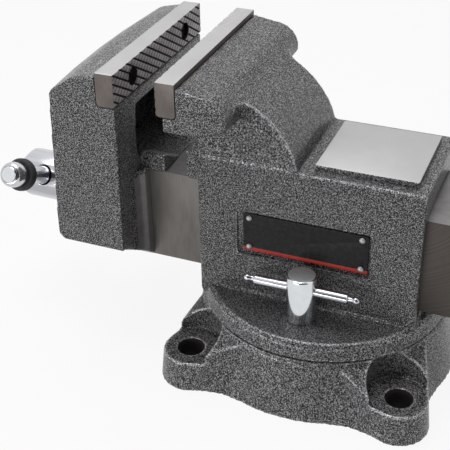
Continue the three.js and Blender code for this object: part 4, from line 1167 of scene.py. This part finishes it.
class VISE_OT_handle(bpy.types.Operator):
    """Make the handle bar, its two domed knobs and the rubber rings"""
    bl_idname = "vise.handle"
    bl_label = "Handle"

    def execute(self, context):
        start, end = along_handle("handle_bar", SPIGOT_RADIUS)
        start, end = start + SPIGOT_LENGTH, end - SPIGOT_LENGTH
        bar = smooth(handle_turned("handle_rod", [(BAR_RADIUS, start), (BAR_RADIUS, end)]))
        hand_over(bar, "handle", [satin_chrome], ["handle_bar"])
        for side, reach, way in (("near", end, 1), ("far", start, -1)):
            self.knob(side, reach, way)
            self.ring(side, reach, way)
        return {"FINISHED"}

    def knob(self, side, reach, way):
        """Knob with a rounded shoulder, a groove and a bright flat end."""
        radius = size(f"handle_knob_{side}").x / 2
        shoulder = dome(radius - SHOULDER_RADIUS, SHOULDER_HEIGHT)
        shape = [(radius - 1.2 * MM, 0), (radius - 0.35 * MM, 0.35 * MM), (radius, 1.2 * MM),
                 (radius, SHOULDER_FOOT)]
        shape += [(SHOULDER_RADIUS + out, SHOULDER_FOOT + up) for out, up in shoulder]
        shape += [(SHOULDER_RADIUS, SHOULDER_FOOT + SHOULDER_HEIGHT), (6.6 * MM, GROOVE_FLOOR),
                  (6.35 * MM, GROOVE_FLOOR), (6.2 * MM, KNOB_FACE), (5.7 * MM, KNOB_LENGTH - 0.15 * MM),
                  (2 * MM, KNOB_LENGTH)]
        steps = [(out, reach + way * along) for out, along in shape]
        knob = smooth(handle_turned(f"handle_ball_{side}", steps))
        hand_over(knob, "handle", [satin_chrome, chrome], [f"handle_knob_{side}"])
        direction = handle_direction()
        assign_where(knob, 1, lambda point, normal: (point.dot(direction) - reach) * way > KNOB_FACE)

    def ring(self, side, reach, way):
        """Rubber ring with rounded rims."""
        outer = size(f"knob_ring_{side}").x / 2
        rim = [(RING_BORE_RADIUS + 0.4 * MM, 0.2 * MM), (outer - RING_EDGE, 0), (outer - 0.8 * MM, 0.7 * MM),
               (outer, 2.6 * MM)]
        shape = rim + [(out, RING_WIDTH - along) for out, along in reversed(rim)]
        ring = handle_turned(f"rubber_ring_{side}",
                             [(out, reach - way * (TOUCHING_GAP + along)) for out, along in shape])
        through = middle(f"knob_ring_{side}")
        past = handle_direction() * 2.5 * RING_WIDTH
        carve(ring, round_bar(RING_BORE_RADIUS, through - past, through + past))
        soften_edges(ring, 0.4 * MM, 2, 25)
        smooth(ring, 50)
        hand_over(ring, "handle", [black_rubber], [f"knob_ring_{side}"])


# Swivel locks

CROSS_BORE_RADIUS = 4.3 * MM
CROSS_BORE_REACH = Vector((20 * MM, 0, 0))
ROD_RADIUS = 4.0 * MM
NECK_RADIUS = 2.1 * MM
NECK_LENGTH = 2.8 * MM
BALL_RADIUS = 2.9 * MM
LEAST_RADIUS = 0.2 * MM


class VISE_OT_locks(bpy.types.Operator):
    """Make the two barrel lock nuts and their cross bars with necked balls"""
    bl_idname = "vise.locks"
    bl_label = "Swivel locks"

    def execute(self, context):
        for side in ("front", "rear"):
            self.nut(side, f"lock_nut_{side}", middle(f"lock_bar_{side}").z)
            self.bar(side, f"lock_bar_{side}")
        return {"FINISHED"}

    def nut(self, side, node, bore_z):
        """Barrel nut with a rounded top and a cross bore."""
        centre, extent = middle(node), size(node)
        radius, height = extent.x / 2, extent.z
        nut = turned(f"lock_barrel_{side}", [
            (radius - 0.5 * MM, 0), (radius, 0.5 * MM), (radius, height - 1.4 * MM),
            (radius - 0.35 * MM, height - 0.7 * MM), (radius - 1.1 * MM, height - 0.15 * MM),
            (radius - 1.7 * MM, height), (2 * MM, height)], (centre.x, centre.y, low(node).z), UPRIGHT)
        bore = Vector((centre.x, centre.y, bore_z))
        carve(nut, round_bar(CROSS_BORE_RADIUS, bore - CROSS_BORE_REACH, bore + CROSS_BORE_REACH,
                             SMALL_ROUND_SIDES))
        smooth(nut, 30)
        hand_over(nut, f"{side}_lock", [chrome, faced_chrome], [node])
        assign_where(nut, 1, lambda point, normal: normal.z > 0.95)

    def bar(self, side, node):
        """Rod with a neck and a ball at each end."""
        half = size(node).x / 2
        neck_start = half - 2 * BALL_RADIUS - NECK_LENGTH
        end = [(ROD_RADIUS, neck_start - 0.7 * MM), (ROD_RADIUS - 0.6 * MM, neck_start),
               (NECK_RADIUS, neck_start + 0.2 * MM)]
        round_angle = math.pi - math.asin(NECK_RADIUS / BALL_RADIUS)
        for step in range(DOME_STEPS + 1):
            angle = round_angle - round_angle * step / DOME_STEPS
            end.append((max(BALL_RADIUS * math.sin(angle), LEAST_RADIUS),
                        half - BALL_RADIUS + BALL_RADIUS * math.cos(angle)))
        steps = [(radius, -along) for radius, along in reversed(end)] + end
        bar = smooth(turned(f"lock_rod_{side}", steps, middle(node), ALONG_X, SMALL_ROUND_SIDES), 40)
        hand_over(bar, f"{side}_lock_bar", [satin_chrome], [node])


# Name plate

PLATE_EDGE = 0.25 * MM
RIVET_RADIUS = 2.3 * MM
RIVET_HEIGHT = 1.7 * MM
RIVET_SHANK_RADIUS = 1.2 * MM
RIVET_SHANK_LENGTH = 4 * MM


class VISE_OT_name_plate(bpy.types.Operator):
    """Make the bare name plate and its four domed rivets"""
    bl_idname = "vise.name_plate"
    bl_label = "Name plate"

    def execute(self, context):
        plate = copy_of_node("name_plate", "maker_plate")
        soften_edges(plate, PLATE_EDGE, 2)
        smooth(plate)
        hand_over(plate, "body", [plate_enamel], ["name_plate"])
        shape = [(RIVET_SHANK_RADIUS, -RIVET_SHANK_LENGTH), (RIVET_SHANK_RADIUS, 0),
                 (RIVET_RADIUS, 0.05 * MM), *dome(RIVET_RADIUS, RIVET_HEIGHT)]
        for number in range(1, 5):
            node = f"name_plate_rivet_{number}"
            centre = middle(node)
            seat = (centre.x, low(node).y + RIVET_HEIGHT, centre.z)
            rivet = smooth(turned(f"plate_rivet_{number}", shape, seat, (0, -1, 0), SMALL_ROUND_SIDES), 50)
            hand_over(rivet, "body", [ground_steel], [node])
        return {"FINISHED"}


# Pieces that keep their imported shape

class VISE_OT_fastenings(bpy.types.Operator):
    """Give the screws, bolts, pins and the nut inside their finishes"""
    bl_idname = "vise.fastenings"
    bl_label = "Fastenings"

    def execute(self, context):
        nodes = ["pivot_pin", "thrust_collar", "collar_pin", "spindle_nut_bolt"]
        nodes += ["lock_bolt_front", "lock_bolt_rear"]
        nodes += [f"{jaw}_jaw_screw_{side}" for jaw in ("fixed", "moving") for side in ("near", "far")]
        for node in nodes:
            self.give_finish(node, oiled_steel)
        self.give_finish("spindle_nut", cast_bronze)
        return {"FINISHED"}

    def give_finish(self, node, maker):
        frame["nodes"][node].data.materials.clear()
        frame["nodes"][node].data.materials.append(finish(maker))


# Stage

CAMERA_TURN = math.radians(22.74)
CAMERA_RISE = math.radians(32.30)
CAMERA_ROLL = math.radians(-1.09)
CAMERA_PLACE = (0.1771, -0.6254, 0.5143)
CAMERA_LENS = 80.47
SENSOR_WIDTH = 36
KEY_PLACE = (-0.35, 0.05, 1.4)
KEY_AIM = (0, 0, 0.12)
KEY_SIZE = (1.0, 0.9)
FRONT_PLACE = (-0.5, -1.3, 0.12)
FRONT_AIM = (0, 0, 0.03)
FRONT_SIZE = (0.9, 0.2)
WHITE = (1, 1, 1, 1)
FLOOR_SIZE = 8
FLOOR_GAP = 0.1 * MM
FLAG_REACH = 3.0
FLAG_RISE = 3.4
FLAG_WIDTH = 5.0
FLAG_HEIGHT = 6.4


def camera_matrix():
    """Turn and place of the camera, from its turn round the vise, its rise over it and its own roll."""
    level = Vector((math.cos(CAMERA_TURN), math.sin(CAMERA_TURN), 0))
    outward = Vector((math.sin(CAMERA_TURN), -math.cos(CAMERA_TURN), 0))
    back = outward * math.cos(CAMERA_RISE) + UPRIGHT * math.sin(CAMERA_RISE)
    upward = back.cross(level)
    right = level * math.cos(CAMERA_ROLL) + upward * math.sin(CAMERA_ROLL)
    up = -level * math.sin(CAMERA_ROLL) + upward * math.cos(CAMERA_ROLL)
    matrix = Matrix((right, up, back)).transposed().to_4x4()
    matrix.translation = CAMERA_PLACE
    return matrix


def area_light(name, place, aim, extent, power):
    """Add a rectangular light that looks from its place at a point."""
    data = bpy.data.lights.new(name, "AREA")
    data.shape = "RECTANGLE"
    data.size, data.size_y = extent
    data.energy = power
    lamp = bpy.data.objects.new(name, data)
    lamp.location = place
    lamp.rotation_euler = (Vector(aim) - Vector(place)).to_track_quat("-Z", "Y").to_euler()
    bpy.context.scene.collection.objects.link(lamp)


class VISE_OT_stage(bpy.types.Operator):
    """Make the floor, the studio light and the camera"""
    bl_idname = "vise.stage"
    bl_label = "Stage"

    def execute(self, context):
        stage = context.scene.bench_vise.stage
        context.scene.view_settings.view_transform = "Standard"
        self.camera(context.scene)
        self.floor()
        self.flag()
        area_light("Key light", KEY_PLACE, KEY_AIM, KEY_SIZE, stage.key_power)
        area_light("Front light", FRONT_PLACE, FRONT_AIM, FRONT_SIZE, stage.front_power)
        self.room(context.scene, stage.room_light)
        return {"FINISHED"}

    def camera(self, scene):
        camera = bpy.data.cameras.new("Camera")
        camera.lens = CAMERA_LENS
        camera.sensor_width = SENSOR_WIDTH
        camera.clip_start = 0.01
        camera_object = bpy.data.objects.new("Camera", camera)
        camera_object.matrix_world = camera_matrix()
        scene.collection.objects.link(camera_object)
        scene.camera = camera_object

    def floor(self):
        deselect_all()
        bpy.ops.mesh.primitive_plane_add(size=FLOOR_SIZE, location=(0, 0, -FLOOR_GAP))
        floor = name_piece(settle(bpy.context.active_object), "studio_floor")
        floor.data.materials.append(finish(studio_floor))

    def room(self, scene, strength):
        """Plain light all round, which shows as white where a ray reaches the background."""
        world = bpy.data.worlds.new("Studio")
        world.use_nodes = True
        scene.world = world
        tree = world.node_tree
        room = tree.nodes["Background"]
        room.inputs["Color"].default_value = WHITE
        room.inputs["Strength"].default_value = strength
        shown = tree.nodes.new("ShaderNodeBackground")
        shown.inputs["Color"].default_value = WHITE
        shown.inputs["Strength"].default_value = 1.0
        mix = tree.nodes.new("ShaderNodeMixShader")
        tree.links.new(background_rays(tree), mix.inputs[0])
        tree.links.new(room.outputs[0], mix.inputs[1])
        tree.links.new(shown.outputs[0], mix.inputs[2])
        tree.links.new(mix.outputs[0], tree.nodes["World Output"].inputs["Surface"])

    def flag(self):
        """Upright cloth behind the camera, seen only in reflections: it gives the chrome its dark bands."""
        deselect_all()
        bpy.ops.mesh.primitive_plane_add(size=1, location=(FLAG_REACH * math.sin(CAMERA_TURN),
                                                           -FLAG_REACH * math.cos(CAMERA_TURN), FLAG_RISE))
        flag = bpy.context.active_object
        flag.rotation_euler = (RIGHT_ANGLE, 0, CAMERA_TURN)
        flag.scale = (FLAG_WIDTH, FLAG_HEIGHT, 1)
        name_piece(settle(flag), "studio_flag")
        flag.data.materials.append(finish(studio_flag))
        flag.visible_camera = flag.visible_diffuse = flag.visible_shadow = flag.visible_transmission = False


# Add-on

STEPS = (
    VISE_OT_stage,
    VISE_OT_base,
    VISE_OT_body,
    VISE_OT_front_jaw,
    VISE_OT_jaw_plates,
    VISE_OT_jaw_screw,
    VISE_OT_handle,
    VISE_OT_locks,
    VISE_OT_name_plate,
    VISE_OT_fastenings,
)


class VISE_PT_pieces(bpy.types.Panel):
    """Lists the vise's pieces in the sidebar"""
    bl_label = "Swivel Bench Vise"
    bl_idname = "VISE_PT_pieces"
    bl_space_type = "VIEW_3D"
    bl_region_type = "UI"
    bl_category = "Vise"

    def draw(self, context):
        for step in STEPS:
            self.layout.operator(step.bl_idname)


CLASSES = (
    ViseCastings,
    ViseSteel,
    ViseJaws,
    ViseScrew,
    ViseHandle,
    VisePlate,
    ViseStage,
    ViseSettings,
    *STEPS,
    VISE_PT_pieces,
)


def register():
    for cls in CLASSES:
        bpy.utils.register_class(cls)
    bpy.types.Scene.bench_vise = PointerProperty(type=ViseSettings)


def unregister():
    del bpy.types.Scene.bench_vise
    for cls in reversed(CLASSES):
        bpy.utils.unregister_class(cls)


def main():
    register()
    for step in STEPS:
        group, operator = step.bl_idname.split(".")
        getattr(getattr(bpy.ops, group), operator)()


if __name__ == "__main__":
    main()
